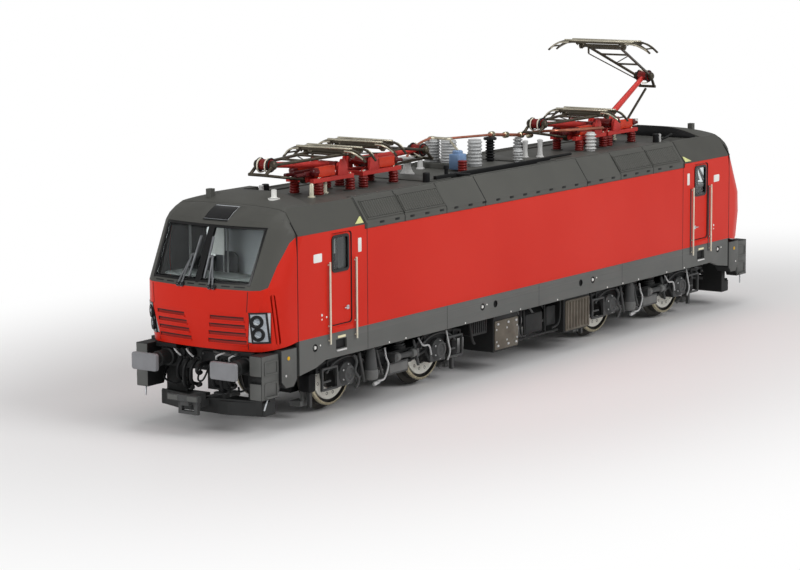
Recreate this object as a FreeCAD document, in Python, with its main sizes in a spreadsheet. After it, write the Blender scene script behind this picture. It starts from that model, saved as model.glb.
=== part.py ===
import FreeCAD, Part
import math
import os
import Sketcher

# Scale model (1:87) of a two-cab electric locomotive, in millimetres.
# +X points to the front cab, +Y to the left side, +Z up. The origin is on the floor that the
# wheel flanges stand on, under the middle of the locomotive.
# Heights in the tables below are above the rail top, which is rail_top above the floor.

V = FreeCAD.Vector
AXIS_X, AXIS_Y, AXIS_Z = V(1, 0, 0), V(0, 1, 0), V(0, 0, 1)
doc = FreeCAD.newDocument("locomotive")
sheet = doc.addObject("Spreadsheet::Sheet", "sizes")

# alias, value, meaning
DRIVING = (
    ("rail_top", 1.1, "height of the rail top over the floor, one flange depth"),
    ("half_width", 17.2, "half width of the body"),
    ("wall", 1.0, "thickness of the body shell"),
    ("panel_gap", 0.15, "gap at a panel seam"),
    ("fit_gap", 0.06, "radial clearance of a pin in its eye"),
    ("seat_gap", 0.25, "clearance of a loosely seated piece"),
    ("cab_seam", 92.3, "distance of the nose seam from the middle"),
    ("roof_seam", 68.8, "distance of the cab roof seam from the middle"),
    ("nose_corner", 102.6, "nose corner at the belt"),
    ("nose_bow", 1.4, "bow of the nose front in plan"),
    ("corner_half", 12.6, "half width of the nose front between its corners"),
    ("corner_run", 8.2, "length of a nose corner along the body"),
    ("sole_level", 17.3, "bottom of the red side"),
    ("belt_level", 28.7, "top of the red nose"),
    ("cant_level", 38.8, "top of the side at the cabs"),
    ("eave_level", 37.8, "top of the side between the cabs"),
    ("slope_level", 44.2, "top of the roof slope"),
    ("slope_half", 13.7, "half width at the top of the roof slope"),
    ("deck_level", 43.7, "roof deck"),
    ("crown_level", 46.6, "crown of the cab roof"),
    ("dome_back", 83.0, "back edge of the cab roof dome"),
    ("skirt_level", 12.1, "bottom of the grey side band"),
    ("floor_level", 16.3, "underside of the floor plate"),
    ("floor_plate", 1.0, "thickness of the floor plate"),
    ("door_low", 18.8, "bottom of a cab door"),
    ("door_high", 38.1, "top of a cab door"),
    ("door_front", 81.0, "front edge of a cab door"),
    ("door_back", 73.5, "back edge of a cab door"),
    ("pivot_spread", 54.6, "bogie pivot from the middle"),
    ("axle_spread", 17.25, "axle from its bogie pivot"),
    ("wheel_radius", 7.2, "radius of the tread"),
    ("flange_depth", 1.1, "flange over the tread"),
    ("wheel_back", 7.15, "half distance between the wheel backs"),
    ("wheel_width", 2.95, "width of a wheel"),
    ("axle_radius", 1.25, "axle"),
    ("frame_inner", 11.0, "inner face of a bogie side frame"),
    ("frame_outer", 13.6, "outer face of a bogie side frame"),
    ("kingpin_radius", 3.0, "bogie pivot boss"),
    ("beam_face", 99.4, "front of the end beam from the middle"),
    ("buffer_face", 108.8, "buffer face from the middle"),
    ("buffer_spread", 10.3, "buffer from the centre line"),
    ("buffer_level", 12.9, "buffer centre"),
    ("buffer_wide", 6.6, "width of a buffer plate"),
    ("buffer_tall", 3.6, "height of a buffer plate"),
    ("coupler_pivot", 96.0, "coupler pivot from the middle"),
    ("coupler_level", 4.6, "coupler shank centre"),
    ("coupler_nose", 108.9, "front of the coupler plate"),
    ("step_face", 16.4, "outer face of a corner step from the centre line"),
    ("step_front", 103.7, "front of the corner steps"),
    ("outer_foot", 58.1, "foot of an outer pantograph from the middle"),
    ("front_inner_foot", 46.4, "foot of the front inner pantograph from the middle"),
    ("rear_inner_foot", 48.8, "foot of the rear inner pantograph from the middle"),
    ("foot_level", 49.3, "pantograph foot pivot"),
    ("lower_arm", 22.3, "length of the lower arm"),
    ("upper_arm", 22.5, "length of the upper arm"),
    ("base_level", 46.5, "underside of the pantograph base"),
    ("base_half", 3.2, "rail of the pantograph base from the centre line"),
    ("wide_head", 14.6, "half length of a contact strip on the raised pantograph"),
    ("narrow_head", 11.0, "half length of a contact strip on the others"),
    ("raised_lift", 22.0, "angle of the raised lower arm over its folded place"),
)
for row, (alias, value, meaning) in enumerate(DRIVING, start=1):
    sheet.set(f"A{row}", meaning)
    sheet.set(f"B{row}", str(value))
    sheet.setAlias(f"B{row}", alias)
doc.recompute()
ALIASES = sorted((row[0] for row in DRIVING), key=len, reverse=True)
S = {alias: float(sheet.get(alias)) for alias in ALIASES}
RAIL = S["rail_top"]
nodes = {}


def ref(text):
    """An expression with each alias of the sheet written out in full."""
    for number, alias in enumerate(ALIASES):
        text = text.replace(alias, f"@{number}@")
    for number, alias in enumerate(ALIASES):
        text = text.replace(f"@{number}@", f"sizes.{alias}")
    return text


def up(level):
    """An expression for a height above the rail top, as a height above the floor."""
    return f"rail_top + {level}"


def add(kind, name):
    return doc.addObject(kind, name)


def keep(name, piece):
    """Make a document object the sub-part called name."""
    piece.Label = name
    nodes[name] = piece
    return piece


def keep_shape(name, shape):
    """Make a worked-out shape the sub-part called name."""
    piece = add("Part::Feature", name)
    piece.Shape = shape
    return keep(name, piece)


def box(name, low, high):
    """A block between two corners, whose places are expressions; heights are over the rail."""
    block = add("Part::Box", name)
    low = (low[0], low[1], up(low[2]))
    high = (high[0], high[1], up(high[2]))
    for axis, length, start, end in zip("xyz", ("Length", "Width", "Height"), low, high):
        block.setExpression(length, ref(f"({end}) - ({start})"))
        block.setExpression(f"Placement.Base.{axis}", ref(start))
    return block


def cylinder(name, radius, length, place, rotation):
    """A cylinder with bound sizes; place is three expressions and rotation turns it from +Z."""
    round_bar = add("Part::Cylinder", name)
    round_bar.setExpression("Radius", ref(radius))
    round_bar.setExpression("Height", ref(length))
    round_bar.Placement.Rotation = rotation
    for axis, text in zip("xyz", (place[0], place[1], up(place[2]))):
        round_bar.setExpression(f"Placement.Base.{axis}", ref(text))
    return round_bar


def fuse(name, pieces):
    joined = add("Part::MultiFuse", name)
    joined.Shapes = pieces
    joined.Refine = True
    return joined


def cut(name, base, tool):
    opened = add("Part::Cut", name)
    opened.Base = base
    opened.Tool = tool
    return opened


def group(name, pieces):
    together = add("Part::Compound", name)
    together.Links = pieces
    return together


def mirror(name, piece, normal):
    """The same piece across the plane through the origin with this normal."""
    other = add("Part::Mirroring", name)
    other.Source = piece
    other.Normal = normal
    return other


def sketch_on(body, role, points, offset="0"):
    """A closed outline of straight lines on an origin plane, each corner bound to its place."""
    sketch = body.newObject("Sketcher::SketchObject", f"{body.Name}_outline")
    plane = [item for item in body.Origin.OriginFeatures if item.Role == role][0]
    sketch.AttachmentSupport = [(plane, "")]
    sketch.MapMode = "FlatFace"
    sketch.setExpression("AttachmentOffset.Base.z", ref(offset))
    corners = [V(evaluate(a), evaluate(b), 0) for a, b in points]
    count = len(corners)
    for index, corner in enumerate(corners):
        sketch.addGeometry(Part.LineSegment(corner, corners[(index + 1) % count]), False)
    for index in range(count):
        sketch.addConstraint(Sketcher.Constraint("Coincident", index, 2, (index + 1) % count, 1))
    for index, (a, b) in enumerate(points):
        for way, text, value in (("DistanceX", a, corners[index].x), ("DistanceY", b, corners[index].y)):
            number = sketch.addConstraint(Sketcher.Constraint(way, -1, 1, index, 1, value))
            sketch.setExpression(f"Constraints[{number}]", ref(text))
    return sketch


def evaluate(text):
    """The value of an expression of the sheet's aliases."""
    return float(sheet.evalExpression(ref(text)))


def prism(name, role, points, low, high):
    """A body padded from an outline, between two places along the plane's normal.

    On XZ_Plane an outline is (x, height over the floor) and low and high are places in Y;
    on YZ_Plane it is (y, height) and they are places in X; on XY_Plane (x, y) and heights.
    """
    body = add("PartDesign::Body", name)
    start = f"-({high})" if role == "XZ_Plane" else low
    sketch = sketch_on(body, role, points, start)
    pad = body.newObject("PartDesign::Pad", f"{name}_pad")
    pad.Profile = sketch
    pad.setExpression("Length", ref(f"({high}) - ({low})"))
    body.Tip = pad
    return body


def lathe(name, points, place):
    """A body turned about a vertical axis from (radius, height) points, set at a place."""
    body = add("PartDesign::Body", name)
    sketch = sketch_on(body, "XZ_Plane", points)
    turn = body.newObject("PartDesign::Revolution", f"{name}_turn")
    turn.Profile = sketch
    turn.ReferenceAxis = (sketch, ["V_Axis"])
    turn.Angle = 360
    body.Tip = turn
    for axis, text in zip("xyz", (place[0], place[1], up(place[2]))):
        body.setExpression(f"Placement.Base.{axis}", ref(text))
    return body


# ---------------------------------------------------------------- body shell
# height over the rail, and how far the nose corner stands back from its place at the belt
NOSE_LEVELS = ((16.0, 1.4), (24.0, 0.0), (28.7, 0.0))
DOME_MIDDLE_X, DOME_MIDDLE_Z = 78.0, 38.0
DOME_LENGTH, DOME_HEIGHT = 19.85, 8.6
DOME_ANGLES = (17, 27, 37, 47, 57, 67, 78)
CORNER_BULGE = (2.6, 2.95)


def plan_wire(level, corner_x, inset):
    """Plan outline at one height: straight sides, two corner arcs and a bowed front."""
    half = S["half_width"] - inset
    corner_y = S["corner_half"] - inset * 0.5
    front = corner_x - inset
    side = front - S["corner_run"]
    middle = front - CORNER_BULGE[0]
    middle_y = corner_y + CORNER_BULGE[1] - inset * 0.35
    z = RAIL + level
    back = 40.0

    def at(x, y):
        return V(x, y, z)

    edges = [
        Part.LineSegment(at(back, half), at(back, -half)),
        Part.LineSegment(at(back, -half), at(side, -half)),
        Part.Arc(at(side, -half), at(middle, -middle_y), at(front, -corner_y)),
        Part.Arc(at(front, -corner_y), at(front + S["nose_bow"], 0), at(front, corner_y)),
        Part.Arc(at(front, corner_y), at(middle, middle_y), at(side, half)),
        Part.LineSegment(at(side, half), at(back, half)),
    ]
    return Part.Wire([edge.toShape() for edge in edges])


def corner_at(level):
    """X of the nose corner at a height over the rail."""
    if level <= NOSE_LEVELS[1][0]:
        span = NOSE_LEVELS[1][0] - NOSE_LEVELS[0][0]
        return S["nose_corner"] - NOSE_LEVELS[0][1] * (NOSE_LEVELS[1][0] - level) / span
    if level <= S["belt_level"]:
        return S["nose_corner"]
    angle = math.radians(DOME_ANGLES[0])
    top_level = DOME_MIDDLE_Z + DOME_HEIGHT * math.sin(angle)
    top_x = DOME_MIDDLE_X + DOME_LENGTH * math.cos(angle)
    if level <= top_level:
        share = (level - S["belt_level"]) / (top_level - S["belt_level"])
        return S["nose_corner"] + (top_x - S["nose_corner"]) * share
    rise = min(0.999, (level - DOME_MIDDLE_Z) / DOME_HEIGHT)
    return DOME_MIDDLE_X + DOME_LENGTH * math.cos(math.asin(rise))


def nose_loft(inset):
    """The front half of the body, inset from its outer surface."""
    levels = [row[0] for row in NOSE_LEVELS]
    levels += [DOME_MIDDLE_Z + DOME_HEIGHT * math.sin(math.radians(a)) for a in DOME_ANGLES]
    wires = [plan_wire(level, corner_at(level), inset) for level in levels]
    return Part.makeLoft(wires, True, True)


def section_prism(inset, low, cant, top_half, top, crown, x_low, x_high):
    """The body's cross-section carried along X; crown None leaves its top flat."""
    half = S["half_width"] - inset
    left = [V(x_low, -half, RAIL + low), V(x_low, -half, RAIL + cant), V(x_low, -top_half, RAIL + top)]
    right = [V(p.x, -p.y, p.z) for p in reversed(left)]
    edges = [Part.makeLine(left[0], left[1]), Part.makeLine(left[1], left[2])]
    if crown is None:
        edges.append(Part.makeLine(left[2], right[0]))
    else:
        edges.append(Part.Arc(left[2], V(x_low, 0, RAIL + crown), right[0]).toShape())
    edges += [Part.makeLine(right[0], right[1]), Part.makeLine(right[1], right[2])]
    edges.append(Part.makeLine(right[2], left[0]))
    return Part.Face(Part.Wire(edges)).extrude(V(x_high - x_low, 0, 0))


def block(x0, x1, y0, y1, z0, z1):
    """A plain block; heights are over the rail."""
    return Part.makeBox(x1 - x0, y1 - y0, z1 - z0, V(x0, y0, RAIL + z0))


def side_region(points, y0=-30.0, y1=30.0):
    """A prism across the body from (x, height over the rail) points."""
    corners = [V(x, y0, RAIL + z) for x, z in points]
    wire = Part.makePolygon(corners + [corners[0]])
    return Part.Face(wire).extrude(V(0, y1 - y0, 0))


def front_region(points, x0, x1):
    """A prism along X from (y, height over the rail) points."""
    corners = [V(x0, y, RAIL + z) for y, z in points]
    wire = Part.makePolygon(corners + [corners[0]])
    return Part.Face(wire).extrude(V(x1 - x0, 0, 0))


def rounded_panel(x0, x1, z0, z1, radius, y0, y1):
    """A prism across the side with rounded corners."""
    z0, z1 = z0 + RAIL, z1 + RAIL
    r, k = radius, radius * (1 - math.sqrt(0.5))
    p = [V(x0 + r, y0, z0), V(x1 - r, y0, z0), V(x1, y0, z0 + r), V(x1, y0, z1 - r),
         V(x1 - r, y0, z1), V(x0 + r, y0, z1), V(x0, y0, z1 - r), V(x0, y0, z0 + r)]
    turns = [V(x1 - k, y0, z0 + k), V(x1 - k, y0, z1 - k), V(x0 + k, y0, z1 - k), V(x0 + k, y0, z0 + k)]
    edges = []
    for index in range(4):
        edges.append(Part.makeLine(p[2 * index], p[2 * index + 1]))
        edges.append(Part.Arc(p[2 * index + 1], turns[index], p[(2 * index + 2) % 8]).toShape())
    return Part.Face(Part.Wire(edges)).extrude(V(0, y1 - y0, 0))


CROWN_INNER_DROP = 1.1
INNER_CANT_DROP = 0.45
INNER_SLOPE_IN = 0.75


def solid_front(inset):
    """The closed form of the front half, inset from its outer surface."""
    cant = S["cant_level"] - (INNER_CANT_DROP * inset)
    top_half = S["slope_half"] - INNER_SLOPE_IN * inset
    top = S["slope_level"] - inset
    crown = S["crown_level"] - CROWN_INNER_DROP * inset
    section = section_prism(inset, 10.0, cant, top_half, top, crown, 30.0, 120.0)
    return nose_loft(inset).common(section)


def deck_cut(inset):
    """What is taken off above the roof deck behind the dome."""
    back = S["dome_back"]
    top = S["slope_level"] - inset
    deck = S["deck_level"] - inset
    lip = S["slope_half"] - 1.0
    return [block(20, back, -30, 30, top, 60), block(20, back, -lip, lip, deck, 60)]


outer = solid_front(0.0).cut(deck_cut(0.0))
inner = solid_front(S["wall"])
inner = inner.cut([block(20, S["dome_back"] + S["wall"], -30, 30, S["deck_level"] - S["wall"], 60)])
low_inner = block(20, S["cab_seam"] - 0.5, -S["half_width"] + S["wall"], S["half_width"] - S["wall"], 10, 20)
shell = outer.cut([inner, low_inner])


def layer(outside, inside):
    """The skin between two depths below the nose surface."""
    return solid_front(outside).cut(solid_front(inside))


# windscreen: half width at the bottom and top, and its two heights
SCREEN = ((12.1, 30.1), (12.5, 40.3))
SCREEN_FRAME = 0.55
PILLAR_HALF = 0.75
LAMP_ROOF = ((3.1, 41.7), (3.1, 44.2))


def trapezium(rows, grow):
    (low_half, low), (high_half, high) = rows
    return [(-low_half - grow, low - grow), (low_half + grow, low - grow),
            (high_half + grow, high + grow), (-high_half - grow, high + grow)]


screen_hole = front_region(trapezium(SCREEN, SCREEN_FRAME), 88, 120)
lamp_hole = front_region(trapezium(LAMP_ROOF, 0.1), 84, 120)
LAMP_DEPTH = 0.7
# corner of the headlight cluster seen square on to the nose corner: along the corner, height
LAMP_LOW, LAMP_HIGH = 17.95, 24.05
LAMP_HALF = 2.15
LAMP_TURN = 50.0
LAMP_CENTRE = (100.7, 13.85)


def lamp_prism(grow, sign):
    """The outline of a corner lamp, carried square to the nose corner; sign is its side."""
    prism_block = Part.makeBox(6, 2 * (LAMP_HALF + grow), LAMP_HIGH - LAMP_LOW + 2 * grow,
                               V(-3, -LAMP_HALF - grow, RAIL + LAMP_LOW - grow))
    prism_block.rotate(V(0, 0, 0), AXIS_Z, sign * LAMP_TURN)
    prism_block.translate(V(LAMP_CENTRE[0], sign * LAMP_CENTRE[1], 0))
    return prism_block


# red nose seen from the side: the boundary to the grey hood runs down and forward
HOOD_EDGE = ((S["cab_seam"], S["cant_level"]), (94.0, 37.7), (97.3, 33.4), (99.9, 29.2),
             (101.2, S["belt_level"]), (112.0, S["belt_level"]))
nose_zone = side_region([(112.0, 15.9), (100.9, 15.9), (S["cab_seam"] + S["panel_gap"], S["sole_level"]),
                         (S["cab_seam"] + S["panel_gap"], HOOD_EDGE[0][1])] + list(HOOD_EDGE[1:]))
hood_zone = side_region([(S["roof_seam"], S["cant_level"])] + list(HOOD_EDGE)
                        + [(112.0, 60.0), (S["roof_seam"], 60.0)])
layer_lamp = layer(0.15, LAMP_DEPTH)
layer_slot = layer(-0.6, 0.55)
nose = shell.common(nose_zone).cut(hood_zone)
# underside and inner end of each louvre, then what they share
LOUVRES = ((17.45, 2.2), (19.1, 2.55), (20.75, 2.95), (22.4, 3.35))
LOUVRE_TALL = 0.8
LOUVRE_OUTER = 11.3
slots = []
for louvre, inner_end in LOUVRES:
    for sign in (-1, 1):
        ends = sorted((sign * inner_end, sign * LOUVRE_OUTER))
        slots.append(block(98, 110, ends[0], ends[1], louvre, louvre + LOUVRE_TALL))
nose = nose.cut([slot.common(layer_slot) for slot in slots])
lamps = [lamp_prism(0.0, sign).common(layer_lamp) for sign in (-1, 1)]
nose = nose.cut([lamp_prism(0.12, sign).common(layer(-0.6, LAMP_DEPTH + 0.05)) for sign in (-1, 1)])
# grab bar in its groove on each nose corner: low end, bend and high end, as x, y and height
GRAB_LINE = ((97.6, 16.05, 17.9), (98.7, 16.1, 23.8), (99.05, 15.8, 27.2))
GRAB_RADIUS = 0.3
GROOVE_RADIUS = 0.62
GROOVE_DEPTH = 0.6


def stick(start, end, radius):
    """A round bar between two points over the rail."""
    a = V(start[0], start[1], RAIL + start[2])
    b = V(end[0], end[1], RAIL + end[2])
    return Part.makeCylinder(radius, (b - a).Length, a, b - a)


def bent_bar(corners, radius, sign):
    """A round bar along the corners with a ball at each, on the side given by sign."""
    spots = [(x, sign * y, z) for x, y, z in corners]
    balls = [Part.makeSphere(radius, V(x, y, RAIL + z)) for x, y, z in spots]
    return balls[0].fuse(balls[1:] + [stick(a, b, radius) for a, b in zip(spots, spots[1:])])


groove_layer = layer(-0.6, GROOVE_DEPTH)
grab_end = 0.7
grab_bar = ((GRAB_LINE[0][0], GRAB_LINE[0][1], GRAB_LINE[0][2] - grab_end), GRAB_LINE[1],
            (GRAB_LINE[2][0], GRAB_LINE[2][1], GRAB_LINE[2][2] + grab_end))
for sign in (-1, 1):
    nose = nose.cut(bent_bar(GRAB_LINE, GROOVE_RADIUS, sign).common(groove_layer))
    nose = nose.fuse(bent_bar(grab_bar, GRAB_RADIUS, sign))
seam_slab = block(S["cab_seam"] - 2 * S["panel_gap"], S["cab_seam"] - S["panel_gap"], -30, 30,
                  S["cant_level"] - 1, 60)
hood = shell.common(hood_zone).cut([screen_hole, lamp_hole.common(layer(-0.6, LAMP_DEPTH + 0.05)),
                                    seam_slab.common(layer(-0.6, 0.35))])
glass_layer = layer(0.3, 0.8)
frame_bar = front_region([(-PILLAR_HALF, 20), (PILLAR_HALF, 20), (PILLAR_HALF, 50), (-PILLAR_HALF, 50)],
                         80, 120)
screen_full = front_region(trapezium(SCREEN, SCREEN_FRAME - 0.05), 88, 120).common(layer(0.05, 0.95))
panes_tool = front_region(trapezium(SCREEN, 0.0), 88, 120)
screen_frame = screen_full.cut(panes_tool).fuse(screen_full.common(frame_bar))
panes = panes_tool.common(glass_layer).cut(frame_bar)
lamps.append(front_region(trapezium(LAMP_ROOF, 0.0), 84, 120).common(layer_lamp))

door_holes, door_leaves, door_panes = [], [], []
DOOR_RADIUS = 0.9
WINDOW = (74.6, 80.0, 30.2, 37.3)
for sign in (-1, 1):
    ends = sorted((sign * (S["half_width"] - 3.0), sign * (S["half_width"] + 3.0)))
    door_holes.append(rounded_panel(S["door_back"], S["door_front"], S["door_low"], S["door_high"],
                                    DOOR_RADIUS, *ends))
    gap = S["panel_gap"]
    skin = sorted((sign * (S["half_width"] - S["seat_gap"]), sign * (S["half_width"] - S["wall"])))
    leaf = rounded_panel(S["door_back"] + gap, S["door_front"] - gap, S["door_low"] + gap,
                         S["door_high"] - gap, DOOR_RADIUS, *skin)
    hole = rounded_panel(*WINDOW, 0.9, *ends)
    door_leaves.append(leaf.cut(hole))
    pane = sorted((sign * (S["half_width"] - 0.4), sign * (S["half_width"] - 0.8)))
    door_panes.append(rounded_panel(WINDOW[0], WINDOW[1], WINDOW[2], WINDOW[3], 0.9, *pane))

front_side = shell.common(side_region([(40, S["sole_level"]), (S["cab_seam"], S["sole_level"]),
                                       (S["cab_seam"], S["cant_level"]), (S["roof_seam"], S["cant_level"]),
                                       (S["roof_seam"], S["eave_level"]), (40, S["eave_level"])]))
front_side = front_side.cut(door_holes)
mid_side = block(-40, 40, -S["half_width"], S["half_width"], S["sole_level"], S["eave_level"])
mid_side = mid_side.cut(block(-41, 41, -S["half_width"] + S["wall"], S["half_width"] - S["wall"], 0, 60))


def across(shape):
    """The rear copy of a front piece."""
    return shape.mirror(V(0, 0, 0), AXIS_X)


def half_of(shape, sign):
    ends = sorted((0.0, sign * 30.0))
    return shape.common(block(-130, 130, ends[0], ends[1], 0, 90))


whole_side = front_side.fuse([mid_side, across(front_side)])
keep_shape("left_body_side", half_of(whole_side, 1).removeSplitter())
keep_shape("right_body_side", half_of(whole_side, -1).removeSplitter())
keep_shape("front_nose_panel", nose)
keep_shape("rear_nose_panel", across(nose))
keep_shape("front_cab_hood", hood)
keep_shape("rear_cab_hood", across(hood))
keep_shape("front_windscreen_frame", screen_frame)
keep_shape("rear_windscreen_frame", across(screen_frame))
glazing = panes.Solids + door_panes
keep_shape("cab_windows", Part.Compound(glazing + [across(piece) for piece in glazing]))
keep_shape("cab_doors", Part.Compound(door_leaves + [across(leaf) for leaf in door_leaves]))
keep_shape("head_lamps", Part.Compound(lamps + [across(lamp) for lamp in lamps]))

# ---------------------------------------------------------------- roof between the cabs
# right-hand corners of the roof's cross-section (y, height over the floor), from the eave in
ROOF_OUTER = (
    ("half_width", "rail_top + eave_level"), ("half_width", "rail_top + 39.1"),
    ("slope_half + 0.1", "rail_top + slope_level"), ("slope_half - 0.9", "rail_top + slope_level"),
    ("slope_half - 1.1", "rail_top + deck_level"),
)
ROOF_INNER = (
    ("slope_half - 0.65", "rail_top + deck_level - wall"),
    ("half_width - wall", "rail_top + 38.9"), ("half_width - wall", "rail_top + eave_level"),
)


def other_side(points):
    return [(f"-({a})", b) for a, b in reversed(points)]


ROOF_OUTLINE = list(ROOF_OUTER) + other_side(ROOF_OUTER) + other_side(ROOF_INNER) + list(ROOF_INNER)
roof = prism("roof_section", "YZ_Plane", ROOF_OUTLINE, "-(roof_seam - panel_gap)", "roof_seam - panel_gap")
keep("roof_panels", roof)

# ---------------------------------------------------------------- underframe
plate = box("floor_sheet", ("-cab_seam", "-(half_width - wall)", "floor_level"),
            ("cab_seam", "half_width - wall", "floor_level + floor_plate"))
tongue = box("floor_tongue", ("-(beam_face - 2)", "-12", "floor_level"),
             ("beam_face - 2", "12", "floor_level + floor_plate"))
holes = [cylinder(f"king_hole_{tag}", "kingpin_radius + fit_gap", "floor_plate + 2",
                  (f"{sign}pivot_spread", "0", "floor_level - 1"), FreeCAD.Rotation())
         for tag, sign in (("front", ""), ("rear", "-"))]
spine = box("spine", ("-25", "-7", "6.2"), ("25", "7", "floor_level"))
plate_open = cut("floor_open", fuse("floor_blank", [plate, tongue]), group("king_holes", holes))
keep("underframe", fuse("underframe_body", [plate_open, spine]))

keep("motor_block", box("motor", ("-30", "-10", "floor_level + floor_plate"), ("30", "10", "34")))

# grey band: (x, height over the floor) of its side outline from the middle to the nose
band_right = [("-(cab_seam - 0.3)", up("sole_level")), ("cab_seam - 0.3", up("sole_level")),
              ("cab_seam - 0.3", up("10.1")), ("86.5", up("10.9")), ("83.0", up("skirt_level")),
              ("-83.0", up("skirt_level")), ("-86.5", up("10.9")), ("-(cab_seam - 0.3)", up("10.1"))]
left_band = prism("left_band", "XZ_Plane", band_right, "half_width - wall", "half_width")
STEP_PLACES = (77.5, -77.5)
pockets = [box(f"step_pocket_{index}", (f"{x - 1.9}", "half_width - 0.6", "13.7"),
               (f"{x + 1.9}", "half_width + 1", "15.8")) for index, x in enumerate(STEP_PLACES)]
HOLE_PLACES = (86.6, 23.8, 18.5, -18.65, -24.2, -86.6)
drills = [cylinder(f"band_hole_{index}", "0.8", "2", (f"{x}", "half_width - 0.6", "15.1"),
                   FreeCAD.Rotation(AXIS_X, -90)) for index, x in enumerate(HOLE_PLACES)]
left_skirt = cut("left_skirt", left_band, group("band_cuts", pockets + drills))
keep("side_bands", group("bands", [left_skirt, mirror("right_skirt", left_skirt, AXIS_Y)]))

# underfloor boxes hung from the floor plate: x low, x high, y low, y high, z low
UNDER_BOXES = ((6.6, 16.9, 7.3, 15.6, 3.4), (-25.2, -13.6, 7.3, 15.6, 3.6),
               (18.6, 24.8, 7.3, 15.0, 8.2), (-12.4, 5.2, 7.3, 14.2, 11.0))
left_boxes = [box(f"under_box_{index}", (str(x0), str(y0), str(z0)), (str(x1), str(y1), "floor_level"))
              for index, (x0, x1, y0, y1, z0) in enumerate(UNDER_BOXES)]
under = left_boxes + [mirror(f"right_{piece.Name}", piece, AXIS_Y) for piece in left_boxes]
keep("underfloor_boxes", group("under_group", under))
tank_parts = []
for index, y in enumerate((10.9, -10.9)):
    tank_parts.append(cylinder(f"air_tank_{index}", "2.3", "16.6", ("-12.0", str(y), "8.6"),
                               FreeCAD.Rotation(AXIS_Y, 90)))
keep("air_tanks", group("tanks", tank_parts))


# ---------------------------------------------------------------- cab ends
def cab_end():
    """Beam, corner steps and plough of one end, as one casting, built at the front."""
    beam = box("end_beam", ("cab_seam + 1.4", "-13.2", "10.6"), ("beam_face", "13.2", "floor_level"))
    corner = prism("end_corner", "XZ_Plane",
                   [("cab_seam + 0.3", up("16.2")), ("98.0", up("16.2")), ("98.0", up("9.6")),
                    ("96.6", up("8.2")), ("93.9", up("8.2")), ("cab_seam + 0.3", up("9.6"))],
                   "13.2", "half_width - 0.1")
    step_block = prism("corner_step", "XZ_Plane",
                       [("97.6", up("15.7")), ("step_front", up("15.7")), ("step_front", up("6.6")),
                        ("98.6", up("6.6")), ("97.6", up("8.4"))], "step_face - 3.0", "step_face")
    hollows = [box(f"corner_pocket_{n}", ("98.7", "step_face - 0.6", z0), ("102.5", "step_face + 1", z1))
               for n, (z0, z1) in enumerate((("11.9", "14.2"), ("7.2", "9.8")))]
    hollows.append(box("front_notch", ("step_front - 0.8", "step_face - 4.0", "10.1"),
                       ("step_front + 1", "step_face + 1", "11.5")))
    stepped = cut("end_steps", step_block, group("corner_hollows", hollows))
    blade = prism("plough", "XY_Plane",
                  [("95.6", "3.4"), ("101.8", "3.4"), ("101.8", "6.0"), ("99.2", "13.6"),
                   ("95.6", "13.6")], "rail_top + 2.4", "rail_top + 5.2")
    hanger = box("plough_hanger", ("95.6", "8.0", "5.2"), ("97.4", "13.6", "10.6"))
    left = [corner, stepped, blade, hanger]
    right = [mirror(f"right_{piece.Name}", piece, AXIS_Y) for piece in left]
    lug = box("coupler_lug", ("94.6", "-2.6", "6.3"), ("97.4", "2.6", "10.6"))
    pin = cylinder("coupler_pin", "0.7", "3.8", ("coupler_pivot", "0", "2.6"), FreeCAD.Rotation())
    return fuse("end_casting", [beam] + left + right + [lug, pin])


front_end = cab_end()
keep("front_end_casting", front_end)
keep("rear_end_casting", mirror("rear_end_copy", front_end, AXIS_X))

# buffer: front plate, back step and shank
plates = []
for index, sign in enumerate(("", "-")):
    y = f"{sign}buffer_spread"
    face = box(f"buffer_face_{index}",
               ("buffer_face - 1.1", f"{y} - buffer_wide / 2", "buffer_level - buffer_tall / 2"),
               ("buffer_face", f"{y} + buffer_wide / 2", "buffer_level + buffer_tall / 2"))
    step = box(f"buffer_step_{index}", ("buffer_face - 2.0", f"{y} - 2.3", "buffer_level - 1.5"),
               ("buffer_face - 1.1", f"{y} + 2.3", "buffer_level + 1.5"))
    shank = cylinder(f"buffer_shank_{index}", "1.35", "buffer_face - 2.0 - beam_face",
                     ("beam_face", y, "buffer_level"), FreeCAD.Rotation(AXIS_Y, 90))
    plates.append(fuse(f"buffer_{index}", [face, step, shank]))
front_buffers = group("front_buffer_pair", plates)
keep("front_buffers", front_buffers)
keep("rear_buffers", mirror("rear_buffer_pair", front_buffers, AXIS_X))


def coupler(name):
    """Shank that rises to a wide front plate, with a loop hung behind the plate."""
    eye = cylinder(f"{name}_eye", "1.7", "2.0", ("coupler_pivot", "0", "coupler_level - 1.0"),
                   FreeCAD.Rotation())
    shank = box(f"{name}_shank", ("coupler_pivot", "-1.1", "coupler_level - 0.8"),
                ("104.2", "1.1", "coupler_level + 0.8"))
    neck = box(f"{name}_neck", ("102.6", "-1.1", "coupler_level + 0.2"),
               ("coupler_nose - 0.6", "1.1", "coupler_level + 2.0"))
    plate_here = box(f"{name}_plate", ("coupler_nose - 1.2", "-4.0", "coupler_level + 1.2"),
                     ("coupler_nose", "4.0", "coupler_level + 2.5"))
    bore = cylinder(f"{name}_bore", "0.7 + fit_gap", "4", ("coupler_pivot", "0", "coupler_level - 2"),
                    FreeCAD.Rotation())
    bow = box(f"{name}_bow", ("106.3", "-2.5", "coupler_level - 1.8"),
              ("107.2", "2.5", "coupler_level + 1.0"))
    hollow = box(f"{name}_hollow", ("106", "-1.6", "coupler_level - 1.1"),
                 ("107.5", "1.6", "coupler_level + 0.3"))
    loop = cut(f"{name}_loop", bow, hollow)
    solid = fuse(f"{name}_solid", [eye, shank, neck, plate_here, loop])
    return cut(f"{name}_whole", solid, bore)


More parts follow.
